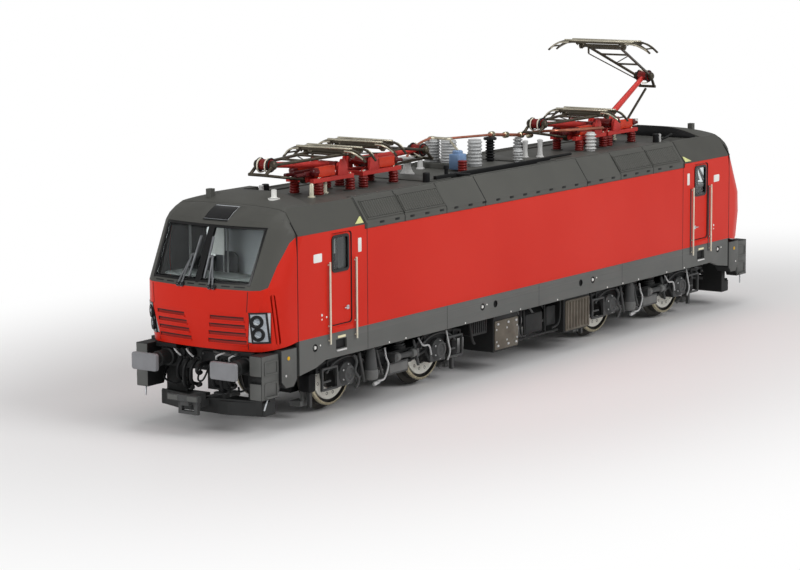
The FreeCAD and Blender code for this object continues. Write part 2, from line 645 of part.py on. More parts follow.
front_coupler = coupler("draw")
keep("front_coupler", front_coupler)
keep("rear_coupler", mirror("rear_coupler_copy", front_coupler, AXIS_X))


# ---------------------------------------------------------------- cab inside, rails, wipers
def cab_inside():
    """Back wall, desk and two seats on one moulding."""
    side, foot = "half_width - wall - 0.1", up("floor_level + floor_plate")
    wall_back = prism("cab_wall", "YZ_Plane", [(f"-({side})", foot), (side, foot), (side, up("38.0")),
                                               ("13.1", up("42.4")), ("-13.1", up("42.4")),
                                               (f"-({side})", up("38.0"))], "70.2", "71.2")
    base = box("cab_floor", ("71.2", f"-({side})", "floor_level + floor_plate"), ("91.5", side, "19.0"))
    desk = prism("cab_desk", "XZ_Plane", [("88.5", up("19.0")), ("91.5", up("19.0")), ("96.0", up("25.0")),
                                          ("96.6", up("28.2")), ("89.5", up("27.0"))], "-13.0", "13.0")
    seats = []
    for index, y in enumerate((-7.0, 7.0)):
        seats.append(box(f"seat_{index}", ("80.5", f"{y - 2.2}", "19.0"), ("85.0", f"{y + 2.2}", "24.0")))
        seats.append(box(f"seat_back_{index}", ("79.5", f"{y - 2.2}", "19.0"),
                         ("81.0", f"{y + 2.2}", "32.0")))
    return fuse("cab_moulding", [wall_back, base, desk] + seats)


front_inside = cab_inside()
keep("front_cab_interior", front_inside)
keep("rear_cab_interior", mirror("rear_inside_copy", front_inside, AXIS_X))

RAIL_STAND = 0.55
RAIL_RADIUS = 0.2
RAIL_FOOT_RADIUS = 0.16
bars = []
for x in (81.9, 72.6):
    for sign in (-1, 1):
        y_rail = sign * (S["half_width"] + RAIL_STAND)
        bar = stick((x, y_rail, 15.2), (x, y_rail, 32.4), RAIL_RADIUS)
        feet = [stick((x, y_rail, z), (x, sign * S["half_width"], z), RAIL_FOOT_RADIUS)
                for z in (16.0, 19.0, 31.8)]
        bars.append(bar.fuse(feet))
keep_shape("door_handrails", Part.Compound(bars + [across(bar) for bar in bars]))


def on_screen(y, level, stand):
    """A point that stands off the nose surface, between its corners."""
    bow = S["nose_bow"] * (1 - (y / S["corner_half"]) ** 2)
    return (corner_at(level) + bow + stand, y, level)


WIPER_STAND = 0.55
wipers = []
for sign in (-1, 1):
    pivot = on_screen(sign * 4.6, 28.9, WIPER_STAND)
    elbow = on_screen(sign * 2.6, 35.0, WIPER_STAND)
    twin = on_screen(sign * 3.6, 28.9, WIPER_STAND)
    blade_low = on_screen(sign * 2.0, 30.6, WIPER_STAND)
    blade_high = on_screen(sign * 1.6, 38.6, WIPER_STAND)
    seat = on_screen(sign * 4.6, 28.9, -0.3)
    seat_twin = on_screen(sign * 3.6, 28.9, -0.3)
    arm = stick(pivot, elbow, 0.2).fuse([stick(twin, elbow, 0.2), stick(blade_low, blade_high, 0.28),
                                         stick(seat, pivot, 0.4), stick(seat_twin, twin, 0.4),
                                         stick(elbow, on_screen(sign * 1.8, 34.6, WIPER_STAND), 0.25)])
    wipers.append(arm.cut(outer))
keep_shape("windscreen_wipers", Part.Compound(wipers + [across(arm) for arm in wipers]))


# ---------------------------------------------------------------- wheels and bogies
def wheelset(name, x):
    """Axle and two wheels turned in one: (y, radius) of the left half, from the middle out."""
    back, wide = "wheel_back", "wheel_width"
    left = [("0", "axle_radius"), (back, "axle_radius"), (back, "wheel_radius + flange_depth - 0.3"),
            (f"{back} + 0.25", "wheel_radius + flange_depth"),
            (f"{back} + 0.55", "wheel_radius + flange_depth - 0.15"),
            (f"{back} + 0.85", "wheel_radius + 0.05"), (f"{back} + {wide} - 0.15", "wheel_radius - 0.08"),
            (f"{back} + {wide}", "wheel_radius - 0.25"), (f"{back} + {wide}", "wheel_radius - 0.95"),
            (f"{back} + {wide} - 0.75", "wheel_radius - 1.1"), (f"{back} + {wide} - 0.75", "2.6"),
            (f"{back} + {wide} - 0.1", "2.3"), (f"{back} + {wide} - 0.1", "0")]
    points = [(f"-({a})", b) for a, b in reversed(left[1:])] + left[1:]
    body = add("PartDesign::Body", name)
    sketch = sketch_on(body, "YZ_Plane", points)
    turn = body.newObject("PartDesign::Revolution", f"{name}_turn")
    turn.Profile = sketch
    turn.ReferenceAxis = (sketch, ["H_Axis"])
    turn.Angle = 360
    body.Tip = turn
    body.setExpression("Placement.Base.x", ref(x))
    body.setExpression("Placement.Base.z", ref("rail_top + wheel_radius"))
    return keep(name, body)


wheelset("front_outer_wheelset", "pivot_spread + axle_spread")
wheelset("front_inner_wheelset", "pivot_spread - axle_spread")
wheelset("rear_inner_wheelset", "-(pivot_spread - axle_spread)")
wheelset("rear_outer_wheelset", "-(pivot_spread + axle_spread)")

# left half of a side frame seen from the side: (x from the pivot, height over the floor)
FRAME_EDGE = [("-26.8", up("8.6")), ("-26.8", up("10.4")), ("-21.0", up("11.3")), ("-12.5", up("11.3")),
              ("-8.5", up("9.2")), ("8.5", up("9.2")), ("12.5", up("11.3")), ("21.0", up("11.3")),
              ("27.4", up("10.4")), ("27.4", up("8.6")), ("21.4", up("8.6")), ("20.0", up("4.6")),
              ("14.5", up("4.6")), ("12.6", up("7.2")), ("7.0", up("6.0")), ("-7.0", up("6.0")),
              ("-12.6", up("7.2")), ("-14.5", up("4.6")), ("-20.0", up("4.6")), ("-21.4", up("8.6"))]


def bogie_frame():
    """Side frames, cross beams, gear casing with its axle bores, and the pivot boss."""
    left = prism("side_frame", "XZ_Plane", FRAME_EDGE, "frame_inner", "frame_outer")
    right = mirror("side_frame_right", left, AXIS_Y)
    transom = box("transom", ("-6.0", "-frame_outer + 0.5", "7.0"), ("6.0", "frame_outer - 0.5", "9.2"))
    ends = [box(f"end_bar_{index}", (f"{x0}", "-frame_outer + 0.5", "8.7"),
                (f"{x1}", "frame_outer - 0.5", "10.3"))
            for index, (x0, x1) in enumerate(((26.2, 27.4), (-26.8, -26.0)))]
    casing = box("gear_casing", ("-26.0", "-6.2", "3.6"), ("26.2", "6.2", "13.4"))
    bores = [cylinder(f"axle_bore_{index}", "axle_radius + fit_gap", "14",
                      (f"{sign}axle_spread", "-7", "wheel_radius"), FreeCAD.Rotation(AXIS_X, -90))
             for index, sign in enumerate(("", "-"))]
    boss = cylinder("pivot_boss", "kingpin_radius", "floor_level + floor_plate - 13.4",
                    ("0", "0", "13.4"), FreeCAD.Rotation())
    whole = fuse("bogie_blank", [left, right, transom, casing, boss] + ends)
    return cut("bogie_frame", whole, group("axle_bores", bores))


def moved(name, source, turn, x):
    """A copy of a bogie piece at a pivot, turned about the vertical."""
    shape = source.Shape.copy()
    shape.rotate(V(0, 0, 0), AXIS_Z, turn)
    shape.translate(V(x, 0, 0))
    return keep_shape(name, shape)


frame_source = bogie_frame()
# on the face of a side frame: axle boxes, a yaw damper with its two brackets over an equipment box,
# and a standing damper on a bracket; x is from the pivot
ALONG_Y = FreeCAD.Rotation(AXIS_X, -90)
YAW_LEVEL, YAW_BACK, YAW_FRONT = 8.2, -6.9, 1.3
LIFT_DAMPER_X, LIFT_DAMPER_LOW = 9.9, 4.9
side_trim = [cylinder(f"axle_box_{index}", "1.9", "1.4", (x, "frame_outer", "wheel_radius"), ALONG_Y)
             for index, x in enumerate(("axle_spread", "-axle_spread"))]
side_trim.append(cylinder("yaw_damper", "0.6", f"{YAW_FRONT - YAW_BACK}",
                          (f"{YAW_BACK}", "frame_outer + 1.6", f"{YAW_LEVEL}"),
                          FreeCAD.Rotation(AXIS_Y, 90)))
for index, x in enumerate((YAW_BACK - 0.5, YAW_FRONT - 0.5)):
    side_trim.append(box(f"yaw_bracket_{index}", (f"{x}", "frame_outer", f"{YAW_LEVEL - 0.9}"),
                         (f"{x + 1.0}", "frame_outer + 2.4", f"{YAW_LEVEL + 0.9}")))
side_trim.append(box("side_box", ("-4.7", "frame_outer", "4.5"), ("2.9", "frame_outer + 1.3", "7.1")))
side_trim.append(box("lift_bracket", (f"{LIFT_DAMPER_X - 0.7}", "frame_outer", "7.0"),
                     (f"{LIFT_DAMPER_X + 0.7}", "frame_outer + 1.2", "8.6")))
side_trim.append(lathe("lift_damper", [("0", "0"), ("1.2", "0"), ("1.5", "0.6"), ("1.5", "1.8"),
                                       ("1.0", "6.5"), ("0", "6.5")],
                       (f"{LIFT_DAMPER_X}", "frame_outer + 1.7", f"{LIFT_DAMPER_LOW}")))
for index, x in enumerate((26.4, -26.8)):
    side_trim.append(box(f"sand_pipe_{index}", (f"{x}", "frame_inner + 0.2", "1.2"),
                         (f"{x + 0.8}", "frame_inner + 1.0", "8.6")))
left_trim = fuse("left_trim", side_trim)
right_trim = mirror("right_trim", mirror("left_trim_twin", left_trim, AXIS_Y), AXIS_X)
trim_both = group("bogie_trim", [left_trim, right_trim])
cups = [lathe(f"spring_{index}", [("0", "0"), ("1.9", "0"), ("1.9", "0.7"), ("1.5", "0.9"), ("1.5", "5.4"),
                                  ("1.9", "5.6"), ("1.9", "6.2"), ("0", "6.2")],
              (f"{x}", "(frame_inner + frame_outer) / 2", "9.2")) for index, x in enumerate((-4.2, 4.2))]
springs_both = group("spring_four", cups + [mirror(f"right_{cup.Name}", cup, AXIS_Y) for cup in cups])
doc.recompute()
for tag, turn, x in (("front", 0, S["pivot_spread"]), ("rear", 180, -S["pivot_spread"])):
    moved(f"{tag}_bogie_frame", frame_source, turn, x)
    moved(f"{tag}_bogie_fittings", trim_both, turn, x)
    moved(f"{tag}_bogie_springs", springs_both, turn, x)

# ---------------------------------------------------------------- pantographs
# Folded shape, seen from the side with the foot pivot at the origin and the knee towards +X.
FOLD_LOWER = 5.5
FOLD_UPPER = 1.3
LIFT_UPPER = 0.99
ROD_FOOT = (8.8, -2.3)
KNEE_LUG = (2.6, -1.9)
PIN = 0.42
# across the upper arm, from the centre line: its tubes at the knee and head, and its knee cheeks
KNEE_HALF, HEAD_HALF = 2.05, 4.7
KNEE_INNER, KNEE_OUTER = 1.75, 2.4


def tube(a, b, radius):
    return Part.makeCylinder(radius, (b - a).Length, a, b - a)


def cross_bar(x, z, radius, half):
    return tube(V(x, -half, z), V(x, half, z), radius)


def cheek(x, z, radius, y0, y1):
    """An eye plate on both sides, between two distances from the centre line."""
    return [tube(V(x, y0, z), V(x, y1, z), radius), tube(V(x, -y1, z), V(x, -y0, z), radius)]


def eye_holes(x, z, y0, y1):
    return cheek(x, z, PIN + S["fit_gap"], y0 - 0.2, y1 + 0.2)


def polar(length, angle):
    return V(length * math.cos(math.radians(angle)), 0, length * math.sin(math.radians(angle)))


def lower_arm_shape():
    """Foot tube, tapered arm and knee housing, with the foot and knee pins."""
    knee = polar(S["lower_arm"], FOLD_LOWER)
    tip = knee - polar(1.2, FOLD_LOWER)
    arm = Part.makeCone(0.85, 0.6, tip.Length, V(0, 0, 0), tip)
    return cross_bar(0, 0, 0.95, 2.3).fuse([arm, cross_bar(knee.x, knee.z, 1.15, 1.6),
                                            cross_bar(0, 0, PIN, 3.5),
                                            cross_bar(knee.x, knee.z, PIN, KNEE_OUTER + 0.3)])


def upper_arm_shape():
    """Two spreading tubes with braces, knee cheeks with the rod's lug, and the head pin."""
    knee = polar(S["lower_arm"], FOLD_LOWER)
    head = knee + polar(S["upper_arm"], 180 - FOLD_UPPER)
    lug = knee + V(KNEE_LUG[0], 0, KNEE_LUG[1])
    parts = []
    for sign in (-1, 1):
        near, far = V(0, sign * KNEE_HALF, 0), V(0, sign * HEAD_HALF, 0)
        parts.append(tube(knee + near, head + far, 0.34))
        parts.append(tube(knee + near, lug + near, 0.36))
    for share in (0.4, 0.72):
        spot = knee + (head - knee) * share
        half = KNEE_HALF + (HEAD_HALF - KNEE_HALF) * share
        parts.append(tube(spot + V(0, -half, 0), spot + V(0, half, 0), 0.25))
    parts += cheek(knee.x, knee.z, 0.95, KNEE_INNER, KNEE_OUTER)
    parts.append(cross_bar(lug.x, lug.z, 0.35, KNEE_OUTER))
    parts.append(cross_bar(head.x, head.z, PIN, 6.6))
    whole = parts[0].fuse(parts[1:])
    return whole.cut(eye_holes(knee.x, knee.z, KNEE_INNER, KNEE_OUTER))


def control_rod_shape():
    """Eye at the foot and a thin rod that ends just short of the knee lug's bar."""
    foot = V(ROD_FOOT[0], 0, ROD_FOOT[1])
    knee = polar(S["lower_arm"], FOLD_LOWER)
    lug = knee + V(KNEE_LUG[0], 0, KNEE_LUG[1])
    way = (lug - foot).normalize()
    rod = tube(foot, lug - way * 1.1, 0.32)
    eye = cross_bar(foot.x, foot.z, 0.85, 0.5)
    return rod.fuse(eye).cut(cross_bar(foot.x, foot.z, PIN + S["fit_gap"], 1.0))


def strip_path(half, drop, spread):
    """Contact strip: flat in the middle, with a horn bent down at each end."""
    bend = half - spread
    a, b = V(0, -bend, 0), V(0, bend, 0)
    ends = []
    for sign in (-1, 1):
        start = V(0, sign * bend, 0)
        middle = V(0, sign * (bend + spread * 0.62), -drop * 0.32)
        end = V(0, sign * half, -drop)
        ends.append((start, middle, end))
    edges = [Part.Arc(ends[0][2], ends[0][1], ends[0][0]).toShape(), Part.makeLine(a, b),
             Part.Arc(ends[1][0], ends[1][1], ends[1][2]).toShape()]
    return Part.Wire(edges)


def head_shape(half):
    """Two contact strips on a cradle, with the eyes that hang it on the upper arm."""
    knee = polar(S["lower_arm"], FOLD_LOWER)
    head = knee + polar(S["upper_arm"], 180 - FOLD_UPPER)
    parts = []
    for x in (-1.9, 1.9):
        path = strip_path(half, 2.2, 0.3 * half)
        corners = [V(x + dx, -half, z)
                   for dx, z in ((-0.5, -2.6), (0.5, -2.6), (0.5, -1.8), (-0.5, -1.8), (-0.5, -2.6))]
        profile = Part.Wire(Part.makePolygon(corners).Edges)
        path.translate(V(x, 0, 0))
        strip = path.makePipeShell([profile], True, False)
        strip.translate(V(0, 0, 1.15))
        parts.append(strip)
    for sign in (-1, 1):
        y = sign * 6.15
        parts.append(Part.makeBox(4.6, 0.5, 0.6, V(-2.3, y - 0.25, 0.35)))
        parts.append(tube(V(0, y - 0.25, 0), V(0, y + 0.25, 0), 0.85))
    whole = parts[0].fuse(parts[1:])
    whole = whole.cut(cross_bar(0, 0, PIN + S["fit_gap"], 8.0))
    whole.translate(head)
    return whole


# pantograph base along the roof from the foot pivot, width of its rails, bearing from the centre line
BASE_BACK, BASE_FRONT = -4.2, 10.4
RAIL_WIDE = 1.0
BEARING = 3.0


def base_shape():
    """Frame, foot bearings and the control rod's pin, seen from the foot pivot."""
    low = S["base_level"] - S["foot_level"]
    tall = 0.9
    side, wide = S["base_half"], 2 * S["base_half"] + RAIL_WIDE
    parts = [Part.makeBox(BASE_FRONT - BASE_BACK, RAIL_WIDE, tall, V(BASE_BACK, y - RAIL_WIDE / 2, low))
             for y in (-side, side)]
    parts += [Part.makeBox(1.0, wide, tall, V(x, -wide / 2, low)) for x in (BASE_BACK, BASE_FRONT - 3.8)]
    for sign in (-1, 1):
        y = sign * BEARING
        parts.append(Part.makeBox(1.8, 0.7, 2.4, V(-0.9, y - 0.35, low + 0.3)))
        parts.append(tube(V(0, y - 0.35, 0), V(0, y + 0.35, 0), 0.9))
    for sign in (-1, 1):
        parts.append(Part.makeBox(2.6, 0.5, 1.2, V(ROD_FOOT[0] - 2.0, sign * 1.0 - 0.25, low)))
    parts.append(cross_bar(ROD_FOOT[0], ROD_FOOT[1], PIN, 1.2))
    whole = parts[0].fuse(parts[1:])
    return whole.cut(eye_holes(0, 0, BEARING - 0.4, BEARING + 0.4))


def lifted(shape, pivot, angle):
    turned = shape.copy()
    turned.rotate(pivot, AXIS_Y, -angle)
    return turned


# name, x of the foot pivot, knee direction, turn of the lower and the upper arm from the folded
# shape, half length of the contact strips
PANTOGRAPHS = (
    ("front_outer", S["outer_foot"], 1, 0.0, 0.0, S["narrow_head"]),
    ("front_inner", S["front_inner_foot"], -1, -4.5, 5.7, S["narrow_head"]),
    ("rear_inner", -S["rear_inner_foot"], 1, 0.0, 0.0, S["narrow_head"]),
    ("rear_outer", -S["outer_foot"], -1, S["raised_lift"], LIFT_UPPER * S["raised_lift"], S["wide_head"]),
)
FOOT = V(0, 0, 0)
KNEE = polar(S["lower_arm"], FOLD_LOWER)
HEAD = KNEE + polar(S["upper_arm"], 180 - FOLD_UPPER)
ROD_PIVOT = V(ROD_FOOT[0], 0, ROD_FOOT[1])
lower_master, upper_master = lower_arm_shape(), upper_arm_shape()
rod_master, base_master = control_rod_shape(), base_shape()


def turned_point(point, angle):
    """The point turned upwards about the origin."""
    return FreeCAD.Rotation(AXIS_Y, -angle).multVec(point)


def slope(vector):
    return math.degrees(math.atan2(vector.z, vector.x))


def placed(shape, x, way):
    """The piece at its foot pivot; way -1 turns it to point to the rear."""
    there = shape.copy()
    if way < 0:
        there.rotate(V(0, 0, 0), AXIS_Z, 180)
    there.translate(V(x, 0, RAIL + S["foot_level"]))
    return there


bases, insulators = [], []
LUG = V(KNEE_LUG[0], 0, KNEE_LUG[1])
for name, x, way, lift, upper_turn, half in PANTOGRAPHS:
    lower = lifted(lower_master, FOOT, lift)
    knee_now = turned_point(KNEE, lift)
    upper = lifted(upper_master, KNEE, -upper_turn)
    upper.translate(knee_now - KNEE)
    head_piece = head_shape(half)
    head_piece.translate(knee_now + turned_point(HEAD - KNEE, -upper_turn) - HEAD)
    lug_now = knee_now + turned_point(LUG, -upper_turn)
    rod = lifted(rod_master, ROD_PIVOT, slope(lug_now - ROD_PIVOT) - slope(KNEE + LUG - ROD_PIVOT))
    keep_shape(f"{name}_lower_arm", placed(lower, x, way))
    keep_shape(f"{name}_upper_arm", placed(upper, x, way))
    keep_shape(f"{name}_contact_head", placed(head_piece, x, way))
    keep_shape(f"{name}_control_rod", placed(rod, x, way))
    bases.append(placed(base_master, x, way))
keep_shape("pantograph_bases", Part.Compound(bases))


def ribbed(x, y, low, high, core, shed, count):
    """A ribbed insulator between two heights over the rail."""
    points = [V(0, 0, low), V(core, 0, low)]
    pitch = (high - low) / (count + 0.5)
    for index in range(count):
        z = low + pitch * (index + 0.5)
        points += [V(radius, 0, z + pitch * share)
                   for radius, share in ((core, 0.0), (shed, 0.1), (shed, 0.3), (core, 0.5))]
    points += [V(core, 0, high), V(0, 0, high)]
    face = Part.Face(Part.makePolygon(points + [points[0]]))
    turned = face.revolve(V(0, 0, 0), AXIS_Z, 360)
    turned.translate(V(x, y, RAIL))
    return turned


DECK = S["deck_level"]
for row in PANTOGRAPHS:
    for along in (-3.4, 8.0):
        for y in (-S["base_half"], S["base_half"]):
            insulators.append(ribbed(row[1] + row[2] * along, y, DECK, S["base_level"], 0.95, 1.15, 4))
keep_shape("pantograph_insulators", Part.Compound(insulators))

# roof gear between the pantographs: x, y, low, high, core, shed, ribs
GEAR = ((22.6, -5.9, DECK, 47.6, 1.0, 1.7, 3), (22.6, 5.9, DECK, 47.2, 0.9, 1.5, 3),
        (6.4, -8.2, 44.9, 50.2, 1.5, 2.2, 6), (6.4, -3.6, 44.9, 50.2, 1.5, 2.2, 6),
        (-10.2, -2.9, DECK, 49.6, 0.7, 1.2, 6), (-26.0, -5.2, DECK, 48.0, 0.7, 1.2, 4))
keep_shape("roof_insulators", Part.Compound([ribbed(*row) for row in GEAR]))
tray = box("switch_tray", ("3.4", "-11.0", "deck_level"), ("9.6", "-0.8", "44.9"))
keep("switch_tray", tray)
BUS_ROUTE = ((-10.2, -2.9, 50.0), (-14.0, -5.2, 49.6), (-27.4, -5.2, 48.4))
bus = [stick(BUS_ROUTE[0], BUS_ROUTE[1], 0.4), stick(BUS_ROUTE[1], BUS_ROUTE[2], 0.4)]
keep_shape("roof_busbar", bus[0].fuse(bus[1:]))
POST_X, POST_Y = 87.9, 8.0
post = stick((POST_X, POST_Y, 44.5), (POST_X, POST_Y, 47.5), 0.5)
post = post.fuse(stick((POST_X, POST_Y, 44.5), (POST_X, POST_Y, 45.8), 1.2)).cut(outer)
horn = block(88.8, 90.2, -8.1, -6.8, 44.0, 46.9).cut(outer)
fittings = [post, horn]
fittings += [piece.mirror(V(0, 0, 0), AXIS_X).mirror(V(0, 0, 0), AXIS_Y) for piece in (post, horn)]
far_box = block(70.8, 82.6, -11.8, -9.4, DECK, 45.35)
fittings += [far_box, across(far_box)]
keep_shape("roof_fittings", Part.Compound(fittings))

# ---------------------------------------------------------------- check and write
doc.recompute()
for item in doc.Objects:
    if "Invalid" in item.State or "Error" in item.State:
        raise SystemExit(f"{item.Name} failed: {item.State}")
for name, piece in nodes.items():
    if piece.Shape.isNull() or not piece.Shape.isValid():
        raise SystemExit(f"{name} has no valid shape")
os.makedirs("parts", exist_ok=True)
for name, piece in nodes.items():
    piece.Shape.exportStep(f"parts/{name}.step")
print(len(nodes), "sub-parts")
for name, piece in sorted(nodes.items()):
    bounds = piece.Shape.BoundBox
    print(f"{name:26s} solids {len(piece.Shape.Solids):2d} volume {piece.Shape.Volume:9.2f}",
          f"x {bounds.XMin:.1f} {bounds.XMax:.1f} y {bounds.YMin:.1f} {bounds.YMax:.1f}",
          f"z {bounds.ZMin:.1f} {bounds.ZMax:.1f}")
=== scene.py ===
"""Looks of a 1:87 model electric locomotive: surfaces, finishes, studio and camera.

Lengths are millimetres, heights are over the rail top, +X is the front cab and +Y the left side.
Each sub-assembly is a class. Its shapes are surfaces worked out on grids of two parameters, and
become metres over the floor only when a piece is made.
"""

import logging
import math
from dataclasses import dataclass
from enum import Enum
from typing import Callable, Iterable, Sequence

import bmesh
import bpy
import numpy as np
from mathutils import Matrix


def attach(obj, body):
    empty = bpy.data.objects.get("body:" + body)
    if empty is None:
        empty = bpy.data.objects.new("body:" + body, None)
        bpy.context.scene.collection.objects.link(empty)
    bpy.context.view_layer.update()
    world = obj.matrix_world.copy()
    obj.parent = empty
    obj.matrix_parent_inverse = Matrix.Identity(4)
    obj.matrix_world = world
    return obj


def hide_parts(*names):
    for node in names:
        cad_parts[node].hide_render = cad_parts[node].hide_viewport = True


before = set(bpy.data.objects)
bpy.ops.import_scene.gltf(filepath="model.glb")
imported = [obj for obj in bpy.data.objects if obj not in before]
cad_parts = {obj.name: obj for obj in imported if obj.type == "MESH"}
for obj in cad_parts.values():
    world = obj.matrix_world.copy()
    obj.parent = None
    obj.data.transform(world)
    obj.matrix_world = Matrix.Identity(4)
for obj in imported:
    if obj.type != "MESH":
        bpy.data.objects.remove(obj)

Array = np.ndarray
MM = 0.001
RAIL = 1.1
ROOT = "locomotive_body"
log = logging.getLogger("looks")
SIDES = (-1.0, 1.0)
LINE_END = 85.0
LINE_HEIGHT = 30.0


class Plane(Enum):
    """The plane that an outline is drawn in; a slab's thickness runs along the third axis."""

    TOP = (0, 1, 2)
    SIDE = (0, 2, 1)
    FRONT = (1, 2, 0)


class Axis(Enum):
    """An axis of the locomotive."""

    X = 0
    Y = 1
    Z = 2


# ------------------------------------------------------------------------------ surfaces
@dataclass(frozen=True)
class Shape:
    """Points in millimetres over the rail top, and patches of faces with equal corner counts."""

    points: Array
    patches: tuple[Array, ...]

    def moved(self, x: float = 0.0, y: float = 0.0, z: float = 0.0) -> "Shape":
        """The shape carried by an offset."""
        return Shape(self.points + np.array([x, y, z]), self.patches)

    def turned(self, axis: Axis, degrees: float, centre: Sequence[float] = (0, 0, 0)) -> "Shape":
        """The shape turned about an axis through a centre, counter-clockwise seen from its tip."""
        angle = math.radians(degrees)
        a, b = (axis.value + 1) % 3, (axis.value + 2) % 3
        turn = np.eye(3)
        turn[a, a] = turn[b, b] = math.cos(angle)
        turn[a, b], turn[b, a] = -math.sin(angle), math.sin(angle)
        middle = np.asarray(centre, float)
        return Shape((self.points - middle) @ turn.T + middle, self.patches)

    def mirrored(self, axis: Axis) -> "Shape":
        """The shape seen in a mirror through the origin, its faces turned to point outwards."""
        flip = np.ones(3)
        flip[axis.value] = -1.0
        return Shape(self.points * flip, tuple(patch[:, ::-1] for patch in self.patches))

    def repeated(self, offsets: Array) -> "Shape":
        """A copy at each offset (k, 3): the sum of every offset and every point."""
        count, size = len(offsets), len(self.points)
        points = (np.asarray(offsets, float)[:, None, :] + self.points[None]).reshape(-1, 3)
        steps = (np.arange(count) * size)[:, None, None]
        patches = tuple((patch[None] + steps).reshape(-1, patch.shape[1]) for patch in self.patches)
        return Shape(points, patches)


def joined(shapes: Iterable[Shape]) -> Shape:
    """Several shapes as one; each one's face numbers move up by the points before it."""
    points, patches, base = [], [], 0
    for shape in shapes:
        points.append(shape.points)
        patches += [patch + base for patch in shape.patches]
        base += len(shape.points)
    return Shape(np.concatenate(points), tuple(patches))


def both_sides(shape: Shape) -> Shape:
    """A left-hand shape with its right-hand twin."""
    return joined([shape, shape.mirrored(Axis.Y)])


def both_ends(shape: Shape) -> Shape:
    """A front shape with its rear twin."""
    return joined([shape, shape.mirrored(Axis.X)])


def all_four(shape: Shape) -> Shape:
    """A front left shape at all four corners."""
    return both_ends(both_sides(shape))


def grid_shape(grid: Array, around: bool = True, along: bool = False, caps: bool = True) -> Shape:
    """A surface on a grid of points.

    Args:
        grid: points (rows, columns, 3).
        around: whether the last column joins the first.
        along: whether the last row joins the first.
        caps: whether the first and last rows are closed with one face each.

    Returns:
        Quads between neighbouring rows and columns, with the caps.
    """
    rows, columns = grid.shape[:2]
    number = np.arange(rows * columns).reshape(rows, columns)
    if around:
        number = np.concatenate([number, number[:, :1]], axis=1)
    if along:
        number = np.concatenate([number, number[:1]], axis=0)
    quads = np.stack([number[:-1, :-1], number[:-1, 1:], number[1:, 1:], number[1:, :-1]], axis=-1)
    patches = [quads.reshape(-1, 4)]
    if caps and not along:
        patches += [number[:1, :columns][:, ::-1], number[-1:, :columns]]
    return Shape(grid.reshape(-1, 3), tuple(patches))


def circle(radius: float, steps: int = 12, start: float = 0.0) -> Array:
    """Points (steps, 2) on a circle: radius times cosine and sine of even angles."""
    angle = math.radians(start) + np.linspace(0, 2 * math.pi, steps, endpoint=False)
    return np.stack([radius * np.cos(angle), radius * np.sin(angle)], axis=-1)


def rounded(low: Sequence[float], high: Sequence[float], radius: float, steps: int = 4) -> Array:
    """A rectangle's outline with a quarter circle at each corner."""
    quarter = np.linspace(0, math.pi / 2, steps + 1)
    centres = np.array([[high[0] - radius, high[1] - radius], [low[0] + radius, high[1] - radius],
                        [low[0] + radius, low[1] + radius], [high[0] - radius, low[1] + radius]])
    angle = quarter[None] + np.arange(4)[:, None] * math.pi / 2
    turn = np.stack([np.cos(angle), np.sin(angle)], axis=-1) * radius
    return (centres[:, None] + turn).reshape(-1, 2)


def inset(outline: Array, depth: float) -> Array:
    """An outline drawn in by a depth: each corner moves along the sum of its two edge normals,
    divided by one plus their dot product, which keeps every edge parallel."""
    edge = np.roll(outline, -1, axis=0) - outline
    normal = np.stack([edge[:, 1], -edge[:, 0]], axis=-1)
    normal /= np.maximum(np.linalg.norm(normal, axis=1, keepdims=True), 1e-9)
    area = np.sum(outline[:, 0] * np.roll(outline[:, 1], -1) - outline[:, 1] * np.roll(outline[:, 0], -1))
    before = np.roll(normal, 1, axis=0)
    mitre = (normal + before) / np.maximum(1 + np.sum(normal * before, axis=1, keepdims=True), 0.2)
    return outline - math.copysign(1.0, area) * mitre * depth


def placed(outline: Array, height: Array | float, plane: Plane) -> Array:
    """Plane coordinates and a height, in the order of the locomotive's axes."""
    spots = np.zeros(outline.shape[:-1] + (3,))
    spots[..., plane.value[0]] = outline[..., 0]
    spots[..., plane.value[1]] = outline[..., 1]
    spots[..., plane.value[2]] = height
    return spots


def slab(outline: Array, low: float, high: float, plane: Plane, round_off: float = 0.12) -> Shape:
    """A plate with broken edges: its rings are the outline drawn in by round_off at both faces,
    and whole a distance of round_off inside them."""
    outline = np.asarray(outline, float)
    rings = [(inset(outline, round_off), low), (inset(outline, round_off * 0.3), low + round_off * 0.3),
             (outline, low + round_off), (outline, high - round_off),
             (inset(outline, round_off * 0.3), high - round_off * 0.3), (inset(outline, round_off), high)]
    return grid_shape(np.stack([placed(ring, level, plane) for ring, level in rings]))


def brick(low: Sequence[float], high: Sequence[float], round_off: float = 0.12) -> Shape:
    """A block with broken edges between two corners."""
    corners = np.array([[low[0], low[1]], [high[0], low[1]], [high[0], high[1]], [low[0], high[1]]], float)
    return slab(corners, low[2], high[2], Plane.TOP, round_off)


def frame_ring(outline: Array, width: float, low: float, high: float, plane: Plane) -> Shape:
    """A flat frame: four rings, the outline and the outline drawn in by width, at both heights."""
    inner = inset(outline, width)
    rings = [(outline, low), (outline, high), (inner, high), (inner, low)]
    return grid_shape(np.stack([placed(ring, level, plane) for ring, level in rings]), along=True)


